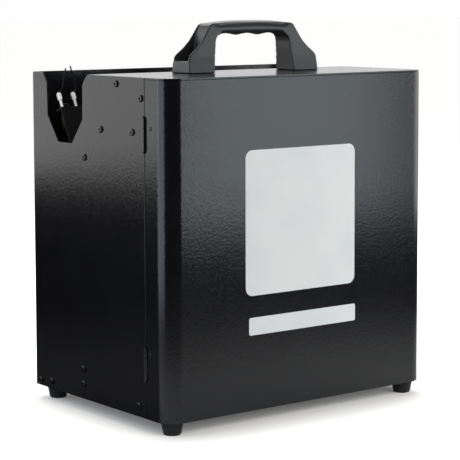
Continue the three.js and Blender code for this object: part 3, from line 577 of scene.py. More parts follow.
def prism(name: str, corners: Sequence[Place], along: Place) -> Piece:
    """Extrude an outline.

    Args:
        name: The piece's name.
        corners: The outline, in case millimetres.
        along: How far it is drawn out, in millimetres.

    Returns:
        The new solid.
    """
    piece = sketched(name, [at(*corner) for corner in corners], True)
    with editing(piece):
        bpy.ops.mesh.select_all(action="SELECT")
        bpy.ops.mesh.extrude_region_move(TRANSFORM_OT_translate={"value": Vector(along) * MM})
        bpy.ops.mesh.select_all(action="SELECT")
        bpy.ops.mesh.normals_make_consistent(inside=False)
    return piece


def turned(
    name: str,
    profile: Sequence[Point],
    base: Place,
    along: Place = (0.0, 0.0, 1.0),
    sides: int = 32,
) -> Piece:
    """Spin a profile round an axis.

    Args:
        name: The piece's name.
        profile: Radius and height of each point, in millimetres.
        base: Where height zero lies, in case millimetres.
        along: The axis.
        sides: Steps of the spin.

    Returns:
        The new solid.
    """
    piece = sketched(name, [Vector((radius, 0, height)) * MM for radius, height in profile], False)
    with editing(piece, "VERT"):
        bpy.ops.mesh.select_all(action="SELECT")
        bpy.ops.mesh.spin(steps=sides, angle=math.tau, center=(0, 0, 0), axis=(0, 0, 1))
        bpy.ops.mesh.select_all(action="SELECT")
        bpy.ops.mesh.remove_doubles(threshold=WELD)
        bpy.ops.mesh.normals_make_consistent(inside=False)
    turn = Vector(along).to_track_quat("Z", "Y").to_matrix().to_4x4()
    piece.data.transform(Matrix.Translation(at(*base)) @ turn)
    return piece


def tube(name: str, route: Sequence[Place], radius: float) -> Piece:
    """Sweep a round bar or wire along a smooth route.

    Args:
        name: The piece's name.
        route: Points of the route, in case millimetres.
        radius: Its radius in millimetres.

    Returns:
        The new mesh, closed at both ends.
    """
    deselect_all()
    curve = bpy.data.curves.new(name, "CURVE")
    curve.dimensions = "3D"
    curve.bevel_depth = radius * MM
    curve.bevel_resolution = TUBE_STEPS
    curve.use_fill_caps = True
    line = curve.splines.new("POLY")
    line.points.add(len(route) - 1)
    for point, place in zip(line.points, route):
        point.co = (*at(*place), 1.0)
    piece = bpy.data.objects.new(name, curve)
    bpy.context.scene.collection.objects.link(piece)
    activate(piece)
    bpy.ops.object.convert(target="MESH")
    return bpy.context.active_object


def bezier(ends: Sequence[Place], steps: int) -> list[Place]:
    """Return points along a Bezier curve through its control places.

    Args:
        ends: Three or four control places.
        steps: How many steps to take.

    Returns:
        The points.
    """
    route = []
    for step in range(steps + 1):
        row = [Vector(place) for place in ends]
        while len(row) > 1:
            row = [one.lerp(other, step / steps) for one, other in zip(row, row[1:])]
        route.append(tuple(row[0]))
    return route


def hollowed(piece: Piece, *cutters: Piece) -> Piece:
    """Cut other solids out of a piece and delete them.

    Args:
        piece: The solid that is cut.
        cutters: What is cut out.

    Returns:
        The piece.
    """
    for cutter in cutters:
        modify(piece, "BOOLEAN", object=cutter, operation="DIFFERENCE", solver="EXACT")
        removed(cutter)
    return piece


def ring_frame(name: str, edges: Sequence[float], span: Point) -> Piece:
    """Make a flat rectangular frame that lies in the plane of the rear panel.

    Args:
        name: The piece's name.
        edges: Its left, bottom, right and top in case millimetres, then the width of its bars.
        span: Its front and back.

    Returns:
        The new solid.
    """
    left, bottom, right, top, wall = edges
    front, back = span
    hole_low, hole_high = (left + wall, front - 1, bottom + wall), (right - wall, back + 1, top - wall)
    frame_block = block(name, (left, front, bottom), (right, back, top))
    return hollowed(frame_block, block(name + "_hole", hole_low, hole_high))


def joined(name: str, parts: Sequence[Piece]) -> Piece:
    """Join meshes into one piece.

    Args:
        name: The piece's name.
        parts: The meshes.

    Returns:
        The one object that is left.
    """
    activate(parts[0])
    for part in parts:
        part.select_set(True)
    if len(parts) > 1:
        bpy.ops.object.join()
    parts[0].name = name
    return parts[0]


def copied(piece: Piece, name: str, change: Matrix) -> Piece:
    """Copy a piece with a mesh of its own.

    Args:
        piece: The piece to copy.
        name: The copy's name.
        change: How the copy's mesh is moved.

    Returns:
        The copy.
    """
    copy = piece.copy()
    copy.data = piece.data.copy()
    copy.name = name
    bpy.context.scene.collection.objects.link(copy)
    copy.data.transform(change)
    return copy


def removed(piece: Piece) -> None:
    """Delete a piece that only served to shape others."""
    bpy.data.objects.remove(piece, do_unlink=True)


def settle(
    piece: Piece,
    slot: str,
    finish: Finish | None = None,
    body: Body = Body.CASE,
    node: str = "",
    angle: float = 35.0,
) -> None:
    """Give a piece its shading, finish and body, and report it.

    Args:
        piece: The finished mesh.
        slot: The record's material slot.
        finish: Its finish, if not the slot's own.
        body: The body it moves with.
        node: The CAD node that it replaces, if any.
        angle: Edges sharper than this many degrees stay crisp.
    """
    activate(piece)
    bpy.ops.object.shade_smooth_by_angle(angle=math.radians(angle))
    modify(piece, "WEIGHTED_NORMAL", weight=100, keep_sharp=True)
    piece.data.materials.clear()
    piece.data.materials.append((finish or SLOT_FINISHES[slot]).material())
    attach(piece, body.value)
    if node:
        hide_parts(node)
    log.info("%s: %d faces, rides on %s", piece.name, len(piece.data.polygons), body.value)


def assemble(
    name: str, parts: Sequence[Piece], slot: str, bevel: float = 0.0, steps: int = 2, **look: Any
) -> None:
    """Round the edges of some meshes, join them into one piece and settle it.

    Args:
        name: The piece's name.
        parts: The meshes.
        slot: The record's material slot.
        bevel: The width of their rounding in millimetres, or 0 for none.
        steps: Steps in the rounding.
        look: What else settle() takes.
    """
    if bevel:
        for part in parts:
            soften(part, bevel, steps)
    settle(joined(name, parts), slot, **look)


def dress(
    node: str,
    name: str,
    width_mm: float,
    body: Body = Body.CASE,
    segments: int = 2,
    finish: Finish | None = None,
) -> None:
    """Replace a CAD node by a copy of its shape with rounded edges.

    Args:
        node: The CAD node.
        name: The new piece's name.
        width_mm: The bevel's width in millimetres.
        body: The body it moves with.
        segments: Steps in the rounding.
        finish: Its finish, if not the slot's own.
    """
    piece = copied(frame["nodes"][node], name, Matrix.Identity(4))
    piece.parent = None
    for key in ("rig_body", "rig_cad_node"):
        if key in piece:
            del piece[key]
    with editing(piece):
        bpy.ops.mesh.select_all(action="SELECT")
        bpy.ops.mesh.customdata_custom_splitnormals_clear()
        bpy.ops.mesh.remove_doubles(threshold=WELD)
        bpy.ops.mesh.dissolve_limited(angle_limit=math.radians(FLAT_DEGREES))
    soften(piece, width_mm, segments)
    slot = next(part["material_slot"] for part in frame["record"]["subparts"] if part["node"] == node)
    settle(piece, slot, finish, body, node)


# Studio


@dataclass
class Studio:
    """The camera, the floor and the lights, in metres."""

    camera_place: Place = (-1.0853, -1.4122, 0.4039)
    camera_turn: Place = (84.998, 0.166, -37.553)
    # The photograph's upright lines hardly converge, so the lens is shifted and looks nearly level
    lens_shift: float = -0.1651
    focal_pixels: float = 1756.88
    sensor_mm: float = 36.0
    floor_side: float = 60.0
    floor_colour: str = "#fffcf7"
    shadow_reach: Point = (-0.03, 0.11)
    # Painted light on the floor that only reflections and bounced light see: a pool, pale close to the case
    # and dark far off
    painted_pool_reach: Point = (0.02, 0.6)
    painted_pool_levels: Point = (0.75, 0.03)
    floor_glow: float = 0.85
    # The painted shade on the floor beside the left panel, which only reflections and bounced light see:
    # the slope and offset of its slanting edge, where that edge and the one along the case fade in, and how
    # dark it is
    painted_shade_line: Point = (0.8, 0.24)
    painted_shade_behind: Point = (-0.06, 0.04)
    painted_shade_beside: Point = (-0.17, -0.15)
    painted_shade_level: float = 0.1
    # The backdrop, by the cosine between a direction and the way that the camera looks
    backdrop_reach: Point = (0.55, 0.85)
    backdrop_levels: Point = (0.05, 1.0)

    def build(self) -> None:
        """Make everything around the object."""
        scene = bpy.context.scene
        scene.view_settings.view_transform = "Standard"
        self.camera()
        self.floor()
        self.lights()
        self.world()

    def camera(self) -> None:
        """Stand the camera where the photograph was taken."""
        data = bpy.data.cameras.new("camera")
        data.sensor_width = self.sensor_mm
        data.lens = self.focal_pixels * self.sensor_mm / PHOTO_SIDE
        data.shift_y = self.lens_shift
        camera = bpy.data.objects.new("camera", data)
        camera.location = self.camera_place
        camera.rotation_euler = [math.radians(turn) for turn in self.camera_turn]
        bpy.context.scene.collection.objects.link(camera)
        bpy.context.scene.camera = camera

    def floor(self) -> None:
        """Lay a floor that is white to the camera away from the object and keeps its shadow close by."""
        deselect_all()
        bpy.ops.mesh.primitive_plane_add(size=self.floor_side)
        floor = bpy.context.active_object
        floor.name = "floor"
        material = bpy.data.materials.new("matt white sweep")
        tree = emptied_tree(material)
        place = add_node(tree, "ShaderNodeTexCoord").outputs["Object"]
        outside = self.outside(tree, place)
        fade = stepped(self.shadow_reach, (0.0, self.floor_glow))
        glow = add_node(tree, MAP_RANGE, fade, {"Value": outside})
        matt = add_node(tree, "ShaderNodeBsdfDiffuse", {"Color": linear(self.floor_colour)})
        light = add_node(tree, "ShaderNodeEmission", {}, {"Strength": glow})
        seen = add_node(tree, "ShaderNodeAddShader", {}, {0: matt, 1: light})
        # Painted light and shade on the floor, seen only by reflections and bounced light
        level = self.mirrored_level(tree, place, outside)
        unseen = add_node(tree, "ShaderNodeBsdfDiffuse", {}, {"Color": level})
        camera_ray = add_node(tree, "ShaderNodeLightPath").outputs["Is Camera Ray"]
        both = add_node(tree, "ShaderNodeMixShader", {}, {"Fac": camera_ray, 1: unseen, 2: seen})
        add_node(tree, "ShaderNodeOutputMaterial", {}, {"Surface": both})
        floor.data.materials.append(material)

    @staticmethod
    def outside(tree: Tree, place: Socket) -> Socket:
        """Measure how far a point of the floor is outside the case.

        Args:
            tree: The node tree.
            place: The floor's coordinates.

        Returns:
            The distance in metres.
        """
        half = (CASE_WIDTH / 2 * MM, CASE_DEPTH / 2 * MM, 0.0)
        flat = add_node(tree, VECTOR_MATH, {"operation": "ABSOLUTE"}, {0: place})
        past = add_node(tree, VECTOR_MATH, {"operation": "SUBTRACT", 1: half}, {0: flat})
        kept = add_node(tree, VECTOR_MATH, {"operation": "MAXIMUM", 1: (0.0, 0.0, 0.0)}, {0: past})
        return add_node(tree, VECTOR_MATH, {"operation": "LENGTH"}, {0: kept}).outputs["Value"]

    def mirrored_level(self, tree: Tree, place: Socket, outside: Socket) -> Socket:
        """Paint light and shade on the floor that the coat mirrors: a painted pool of light, pale by the
        door, and painted shade beside the left panel.

        Args:
            tree: The node tree.
            place: The floor's coordinates.
            outside: The distance outside the case.

        Returns:
            The grey level.
        """
        # Painted pool of light: the floor is pale close to the case
        grade = stepped(self.painted_pool_reach, self.painted_pool_levels)
        near = add_node(tree, MAP_RANGE, grade, {"Value": outside})
        parts = add_node(tree, "ShaderNodeSeparateXYZ", {}, {"Vector": place}).outputs
        # Painted shade: the floor beside the left panel is darkened for reflections and bounced light only
        slope, offset = self.painted_shade_line
        line = add_node(tree, MATH, {"operation": "MULTIPLY_ADD", 1: slope, 2: offset}, {0: parts["X"]})
        across = add_node(tree, MATH, {"operation": "ADD"}, {0: line, 1: parts["Y"]})
        behind = add_node(tree, MAP_RANGE, stepped(self.painted_shade_behind, (0.0, 1.0)), {"Value": across})
        beside = add_node(tree, MAP_RANGE, stepped(self.painted_shade_beside, (1.0, 0.0)), {"Value": parts["X"]})
        painted_shade = add_node(tree, MATH, {"operation": "MULTIPLY"}, {0: behind, 1: beside})
        clear = add_node(tree, MAP_RANGE, stepped((0.0, 1.0), (1.0, self.painted_shade_level)), {"Value": painted_shade})
        return add_node(tree, MATH, {"operation": "MULTIPLY"}, {0: near, 1: clear}).outputs["Value"]

    def lights(self) -> None:
        """Hang the soft boxes round the object."""
        boxes = [
            SoftBox("overhead box", (0.35, 0.5, 1.35), (0.0, 0.0, 0.1), 1.5, 1.5, 2.6),
            SoftBox("door box", (0.45, -0.70, 0.32), (0.45, 0.0, 0.32), 0.44, 0.45, 3.2, "#e6f0f4"),
            SoftBox("right box", (0.85, -0.295, 0.32), (0.19, -0.07, 0.32), 0.77, 0.45, 2.0, diffuse=False),
            SoftBox("side box", (-0.55, 0.55, 0.49), (-0.16, 0.0, 0.42), 0.8, 0.65, 1.65),
            SoftBox("corner box", (-0.76, 0.05, 0.36), (-0.16, -0.1, 0.3), 0.6, 0.7, 2.2, "#e8f1ff"),
            SoftBox("fill box", (-0.1, -1.9, 1.3), (0.0, 0.0, 0.15), 1.8, 1.4, 4.2, glossy=False),
        ]
        for box in boxes:
            box.build()

    def world(self) -> None:
        """Set a dark room with a white backdrop behind the object, and white to the camera."""
        world = bpy.data.worlds.new("studio")
        bpy.context.scene.world = world
        tree = emptied_tree(world)
        place = add_node(tree, "ShaderNodeTexCoord").outputs["Generated"]
        turn = math.radians(self.camera_turn[2])
        ahead = {"operation": "DOT_PRODUCT", 1: (-math.sin(turn), math.cos(turn), 0.0)}
        along = add_node(tree, VECTOR_MATH, ahead, {0: place}).outputs["Value"]
        backdrop = stepped(self.backdrop_reach, self.backdrop_levels)
        behind = add_node(tree, MAP_RANGE, backdrop, {"Value": along})
        camera_ray = add_node(tree, "ShaderNodeLightPath").outputs["Is Camera Ray"]
        level = add_node(tree, MATH, {"operation": "MAXIMUM"}, {0: behind, 1: camera_ray})
        light = add_node(tree, "ShaderNodeBackground", {"Color": linear("#ffffff")}, {"Strength": level})
        add_node(tree, "ShaderNodeOutputWorld", {}, {"Surface": light})


@dataclass
class SoftBox:
    """A rectangular soft box, in metres, with its brightness as seen."""

    name: str
    place: Place
    aim: Place
    width: float
    height: float
    brightness: float
    colour: str = "#ffffff"
    glossy: bool = True
    diffuse: bool = True

    def build(self) -> None:
        """Hang the lamp and turn it to its aim."""
        data = bpy.data.lights.new(self.name, "AREA")
        data.shape = "RECTANGLE"
        data.size = self.width
        data.size_y = self.height
        # An area lamp of this power has the wanted brightness over its face
        data.energy = self.brightness * self.width * self.height * math.pi
        data.color = linear(self.colour)[:3]
        lamp = bpy.data.objects.new(self.name, data)
        lamp.location = self.place
        aim = Vector(self.aim) - Vector(self.place)
        lamp.rotation_euler = aim.to_track_quat("-Z", "Y").to_euler()
        lamp.visible_camera = False
        lamp.visible_glossy = self.glossy
        lamp.visible_diffuse = self.diffuse
        bpy.context.scene.collection.objects.link(lamp)
        log.info("%s hung", self.name)


# The object


class CarriedNodes:
    """The CAD nodes that keep their own shape and take a finish."""

    finishes: dict[str, Finish] = {
        "lower_hinge_pin": BLACK_STEEL,
        "upper_hinge_pin": BLACK_STEEL,
    }

    def build(self) -> None:
        """Give every CAD node the finish of its slot, or its own."""
        for part in frame["record"]["subparts"]:
            node = frame["nodes"][part["node"]]
            finish = self.finishes.get(node.name, SLOT_FINISHES[part["material_slot"]])
            node.data.materials.clear()
            node.data.materials.append(finish.material())
            log.info("%s: finished as %s", node.name, finish.name)


@dataclass
class CaseShell:
    """The folded sheets of the case, with the small radius that the powder leaves on each edge."""

    edge: float = 0.6
    fixed: tuple[str, ...] = (
        "left_side_panel", "right_side_panel", "top_plate", "rear_panel", "flame_trough", "base_tray",
        "bulkhead",
    )

    def build(self) -> None:
        """Dress the door and each fixed sheet."""
        dress("front_door", "front_door_skin", self.edge, Body.DOOR)
        for node in self.fixed:
            dress(node, node + "_skin", self.edge)


@dataclass
class DoorPrint:
    """The pale panels printed on the door, left bare."""

    square_low: Point = (-71.0, 111.0)
    square_high: Point = (66.0, 250.0)
    square_corner: float = 8.0
    strip_low: Point = (-67.0, 73.0)
    strip_high: Point = (67.0, 90.0)
    strip_corner: float = 2.0
    thickness: float = 0.12
    corner_steps: int = 8

    def build(self) -> None:
        """Print the square and the strip under it."""
        self.panel("door_print_square", self.square_low, self.square_high, self.square_corner)
        self.panel("door_print_strip", self.strip_low, self.strip_high, self.strip_corner)

    def panel(self, name: str, low: Point, high: Point, corner: float) -> None:
        """Make one flat printed panel with rounded corners.

        Args:
            name: The piece's name.
            low: The left and lower edges.
            high: The right and upper edges.
            corner: The radius of its corners.
        """
        piece = block(name, (low[0], -self.thickness, low[1]), (high[0], 0.0, high[1]))
        with editing(piece, "EDGE"):
            pick_edges(piece, lambda middle, along: abs(along.y) > 0.9)
            bpy.ops.mesh.bevel(offset=corner * MM, segments=self.corner_steps, affect="EDGES")
        settle(piece, "powder_coat", PRINT, Body.DOOR)


@dataclass
class Fasteners:
    """Pan head screws and rivets, modelled once each and copied."""

    screw_radius: float = 3.4
    screw_height: float = 1.6
    recess_width: float = 1.1
    recess_reach: float = 1.6
    recess_depth: float = 1.1
    rivet_radius: float = 1.9
    rivet_height: float = 0.7
    # How much of a head's height its rounded edge takes up
    screw_rounding: float = 0.6
    rivet_rounding: float = 0.9
    # Degrees from one head to the next
    turn_step: float = 37.0

    def __post_init__(self) -> None:
        """Model the patterns."""
        self.screw = self.head("screw", self.screw_radius, self.screw_height, 32, self.screw_rounding)
        hollowed(self.screw, *[self.recess_arm(turn) for turn in (0.0, math.pi / 2)])
        self.rivet = self.head("rivet", self.rivet_radius, self.rivet_height, 24, self.rivet_rounding)

    @staticmethod
    def head(name: str, radius: float, height_mm: float, sides: int, rounding: float) -> Piece:
        """Model a domed head, standing at the origin.

        Args:
            name: The pattern's name.
            radius: Its radius in millimetres.
            height_mm: Its height in millimetres.
            sides: How many sides it has.
            rounding: The share of its height that is rounded.

        Returns:
            The head.
        """
        height = height_mm * MM
        size = {"vertices": sides, "radius": radius * MM, "depth": height}
        head = primitive(name, bpy.ops.mesh.primitive_cylinder_add, location=(0, 0, height / 2), **size)
        with editing(head):
            pick_faces(head, lambda middle, normal: normal.z > 0.9)
            bpy.ops.mesh.bevel(offset=height * rounding, segments=5, affect="EDGES")
        return head

    def recess_arm(self, turn: float) -> Piece:
        """Return one arm of the screw's cross recess, at a turn in radians."""
        return primitive(
            "recess_arm",
            bpy.ops.mesh.primitive_cube_add,
            size=1,
            location=(0, 0, self.screw_height * MM),
            rotation=(0, 0, turn),
            scale=(2 * self.recess_reach * MM, self.recess_width * MM, 2 * self.recess_depth * MM),
        )

    def row(
        self,
        name: str,
        facing: Facing,
        places: Sequence[Place],
        slot: str = "plated_steel",
        scale: float = 1.0,
        rivets: bool = False,
        **look: Any,
    ) -> None:
        """Copy one pattern to several places and join the copies.

        Args:
            name: The piece's name.
            facing: The way the heads look.
            places: Where the heads seat, in case millimetres.
            slot: The record's material slot.
            scale: Their size against the pattern's.
            rivets: Whether they are rivets and not screws.
            look: What else settle() takes.
        """
        way = Vector(facing.value).to_track_quat("Z", "Y").to_matrix().to_4x4()
        heads = []
        for index, place in enumerate(places):
            # Each head stops at a turn of its own
            spin = Matrix.Rotation(math.radians(self.turn_step * index), 4, "Z")
            change = Matrix.Translation(at(*place)) @ way @ spin @ Matrix.Scale(scale, 4)
            heads.append(copied(self.rivet if rivets else self.screw, f"{name}_{index}", change))
        assemble(name, heads, slot, **look)

    def put_away(self) -> None:
        """Delete the patterns."""
        removed(self.screw)
        removed(self.rivet)


@dataclass
class CarryHandle:
    """The moulded handle: a rounded grip between two legs, with a scooped screw recess in each."""

    fasteners: Fasteners
    centre: float = 89.0
    base: float = CASE_HEIGHT
    half_width: float = 15.0
    wall: float = 2.2
    voxel: float = 0.8
    smoothing: int = 3
    finger_pitch: float = 27.0
    finger_depth: float = 0.9
    wave_step: float = 2.25
    wave_steps: int = 18
    opening_top: float = 37.5
    # The grip's underside and top, and how far the top has sunk at this reach from the middle
    grip_low: float = 37.4
    grip_top: float = 51.3
    grip_sink: float = 3.1
    grip_reach: float = 50.0
    # The strongest rounding, and from where to where across it sets in, above and below
    roundness: float = 0.8
    fade_above: Point = (51.0, 38.0)
    fade_below: Point = (44.0, 36.0)
    # What lies lower, in half heights of the grip from its middle, is only tapered
    shaped_above: float = -1.15
    # Half of the outline and of the recess, from the foot of the leg to the middle: across and up
    outline: Profile = (
        (81.3, 0.0), (81.3, 1.5), (80.6, 14.5), (79.2, 17.2), (76.0, 20.0), (72.0, 22.9), (68.5, 25.8),
        (65.3, 29.0), (62.4, 32.4), (59.8, 36.2), (57.3, 40.0), (54.8, 44.0), (52.8, 46.8), (50.2, 48.3),
        (44.0, 49.4), (37.0, 50.2), (28.0, 50.8), (18.0, 51.15), (8.0, 51.3),
    )
    recess: Profile = (
        (78.0, 5.0), (78.0, 12.0), (90.0, 12.0), (90.0, 60.0), (46.0, 60.0), (46.0, 49.6), (50.0, 47.9),
        (52.3, 45.9), (54.0, 43.0), (55.4, 39.4), (56.4, 35.0), (56.9, 29.0), (56.8, 12.0), (56.5, 5.0),
    )
    opening: Profile = (
        (50.4, -5.0), (50.0, 1.0), (48.3, 16.0), (46.6, 30.0), (45.6, 33.6), (43.8, 36.2), (41.5, 37.2),
    )
    widths: Profile = ((0.0, 1.0), (16.0, 0.85), (49.0, 0.68), (60.0, 0.64))
    screw_across: float = 66.0
    screw_seat: float = 5.0

    def build(self) -> None:
        """Mould the handle and screw it down."""
        handle = self.solid("carry_handle_moulding", self.mirrored(self.outline), self.half_width)
        hole = self.solid("handle_hole", self.hole_outline(), self.half_width + 5)
        depth = self.half_width - self.wall
        right = self.solid("right_recess", self.recess, depth)
        left = self.solid("left_recess", [(-across, up) for across, up in self.recess], depth)
        hollowed(handle, hole, right, left)
        modify(handle, "REMESH", mode="VOXEL", voxel_size=self.voxel * MM)
        modify(handle, "SMOOTH", factor=0.5, iterations=self.smoothing)
        self.shape(handle)
        settle(handle, "handle_nylon", node="carry_handle", angle=80.0)
        seats = [(side * self.screw_across, self.centre, self.base + self.screw_seat) for side in (-1, 1)]
        self.fasteners.row("handle_screws", Facing.UP, seats, scale=1.5)

    @staticmethod
    def mirrored(half: Sequence[Point]) -> list[Point]:
        """Return a half outline followed by its mirror image."""
        return [*half, *((-across, up) for across, up in reversed(half))]

    def hole_outline(self) -> list[Point]:
        """Draw the opening, with the waves that the fingers lie in.

        Returns:
            The points of its outline, across and up.
        """
        waves = []
        for step in range(-self.wave_steps, self.wave_steps + 1):
            across = -step * self.wave_step
            lift = 2 * abs(math.cos(math.pi * across / self.finger_pitch)) - 1
            waves.append((across, self.opening_top + self.finger_depth * lift))
        left = [(-across, up) for across, up in reversed(self.opening)]
        return [*self.opening, *waves, *left]

    def solid(self, name: str, outline: Sequence[Point], half_width: float) -> Piece:
        """Draw an outline out over the handle's width.

        Args:
            name: The solid's name.
            outline: Points across and up, in millimetres.
            half_width: Half of its width.

        Returns:
            The solid.
        """
        front = self.centre - half_width
        corners = [(across, front, self.base + up) for across, up in outline]
        return prism(name, corners, (0.0, 2 * half_width, 0.0))

    def shape(self, handle: Piece) -> None:
        """Taper the moulding towards its top and round the grip's section.

        Args:
            handle: The remeshed moulding.
        """
        middle = at(0.0, self.centre, self.base)
        for vertex in handle.data.vertices:
            place = (vertex.co - middle) / MM
            width = self.half_width * self.share(place.z)
            deep = place.y / self.half_width
            top = self.grip_top - self.grip_sink * (place.x / self.grip_reach) ** 2
            half_height = (top - self.grip_low) / 2
            height = (place.z - self.grip_low) / half_height - 1.0
            rounding = self.roundness * self.fade(abs(place.x), *self.fade_above)
            if height < 0:
                rounding *= self.fade(abs(place.x), *self.fade_below)
            if height > self.shaped_above:
                drawn = min(max(height, -1.0), 1.0)
                place.z += (math.sqrt(1 - rounding * min(deep * deep, 1.0) / 2) - 1.0) * drawn * half_height
                deep *= math.sqrt(1 - rounding * drawn * drawn / 2)
            place.y = deep * width
            vertex.co = middle + place * MM
        handle.data.update()

    def share(self, height: float) -> float:
        """Look up how wide the moulding is.

        Args:
            height: A height over the base, in millimetres.

        Returns:
            The width there, as a share of the base's width.
        """
        for (low, first), (high, last) in zip(self.widths, self.widths[1:]):
            if height <= high:
                return first + (last - first) * max(height - low, 0.0) / (high - low)
        return self.widths[-1][1]

    @staticmethod
    def fade(value: float, start: float, end: float) -> float:
        """Return a smooth step that is 0 at the start and 1 at the end."""
        step = min(max((value - start) / (end - start), 0.0), 1.0)
        return step * step * (3 - 2 * step)


@dataclass
class RubberFeet:
    """The four moulded feet, each with its screw in the recess below."""

    fasteners: Fasteners
    inset: float = 16.0
    recess: float = 6.0
    profile: Profile = (
        (0.0, 6.0), (4.0, 6.0), (4.2, 5.6), (4.2, 0.6), (4.8, 0.0), (7.2, 0.0), (8.2, 0.5), (8.6, 1.4),
        (10.3, 9.6), (10.9, 11.8), (11.0, 12.6), (10.6, 13.0), (0.0, 13.0),
    )
    sides: int = 40

    def build(self) -> None:
        """Mould each foot and screw it on."""
        across = CASE_WIDTH / 2 - self.inset
        seats = []
        for depth_name, depth in (("front", self.inset), ("rear", CASE_DEPTH - self.inset)):
            for side_name, side in (("left", -1), ("right", 1)):
                node = f"{depth_name}_{side_name}_foot"
                place = (side * across, depth, -FOOT_HEIGHT)
                foot = turned(node + "_moulding", self.profile, place, sides=self.sides)
                settle(foot, "foot_rubber", node=node)
                seats.append((side * across, depth, self.recess - FOOT_HEIGHT))
        self.fasteners.row("foot_screws", Facing.DOWN, seats)


@dataclass
class BurnerStation:
    """One of the three burners in the trough: nozzle, bracket and two insulated electrodes."""

    side: str
    across: float
    depth: float = 203.0
    trough_floor: float = 246.0
    stem_low: float = 238.3
    lean: float = math.radians(26.6)
    # The heads of the two insulators: to either side of the middle, then back and up
    half_pitch: float = 8.25
    head: Point = (202.4, 299.0)
    tips: tuple[Place, ...] = ((-2.7, 197.3, 323.6), (2.7, 197.3, 325.8))
    # Along the insulator from its head: where the rod starts, where its bend starts and first leads
    rod_reaches: Place = (-28.0, 0.6, 3.2)
    # The elbow before its tip and above its head, and how long the bend runs into it
    elbow: Point = (-2.4, 4.2)
    elbow_run: float = 2.6
    rod_radius: float = 0.75
    insulator: Profile = (
        (0.85, -28.0), (1.3, -28.0), (1.35, -27.6), (1.35, -8.6), (1.6, -8.1), (2.1, -7.6), (2.35, -6.9),
        (2.4, -6.0), (2.4, -2.0), (2.25, -1.1), (1.8, -0.4), (1.2, 0.0), (0.85, 0.0),
    )
    nozzle: Profile = (
        (1.2, 0.0), (5.4, 0.0), (5.4, 6.9), (6.0, 7.3), (6.0, 10.0), (5.5, 10.4), (5.5, 11.2), (6.0, 11.6),
        (6.0, 29.6), (5.7, 30.2), (3.6, 41.2), (3.1, 41.8), (2.2, 42.0), (1.2, 41.2), (1.2, 0.0),
    )
    hex_across: float = 17.0
    stem_radius: float = 4.7

    def build(self) -> None:
        """Build the pieces of the station."""
        along = (0.0, math.sin(self.lean), math.cos(self.lean))
        heads = [(self.across + sign * self.half_pitch, *self.head) for sign in (-1, 1)]
        for letter, head in zip("ab", heads):
            node = f"{self.side}_insulator_{letter}"
            settle(turned(node + "_glazed", self.insulator, head, along, 20), "ceramic", node=node)
        for letter, head, tip in zip("ab", heads, self.tips):
            self.electrode(f"{self.side}_electrode_{letter}", Vector(head), Vector(along), tip)
        self.burner()
        # The bracket's paint is darkened as painted shade of the trough
        dress(f"{self.side}_electrode_bracket", f"{self.side}_bracket_plate", 0.35, finish=SHADE_DARKENED_PAINT)

    def electrode(self, node: str, head: Vector, along: Vector, tip: Place) -> None:
        """Bend an electrode rod.

        Args:
            node: The CAD node that it replaces.
            head: The head of its insulator.
            along: The insulator's axis.
            tip: Its tip, from the middle of the station.
        """
        end = Vector((self.across + tip[0], tip[1], tip[2]))
        foot, bend, knee = (head + along * reach for reach in self.rod_reaches)
        elbow = Vector((head.x, end.y + self.elbow[0], head.z + self.elbow[1]))
        under = elbow + (elbow - end).normalized() * self.elbow_run
        route = [tuple(foot), *bezier((bend, knee, under, elbow), 10), tuple(end)]
        settle(tube(node + "_rod", route, self.rod_radius), "dark_steel", ELECTRODE, node=node)

    def burner(self) -> None:
        """Turn the nozzle and set its chamfered hexagon under it."""
        seat = self.trough_floor + 0.1
        low, foot, stem_top, hex_top = (
            (self.across, self.depth, z) for z in (self.stem_low, seat, seat + 1, seat + 7)
        )
        base = (self.across, self.depth, self.trough_floor)
        body = turned(f"{self.side}_nozzle_body", self.nozzle, base, sides=36)
        hexagon = rod(f"{self.side}_nozzle_hexagon", self.hex_across / math.sqrt(3), foot, hex_top, 6)
        soften(hexagon, 0.5)
        stem = rod(f"{self.side}_nozzle_stem", self.stem_radius, low, stem_top, 24)
        node = f"{self.side}_nozzle"
        parts = [body, hexagon, stem]
        # The nozzle's brass is darkened as painted shade of the trough
        assemble(f"{self.side}_burner_nozzle", parts, "brass", finish=SHADE_DARKENED_BRASS, node=node)


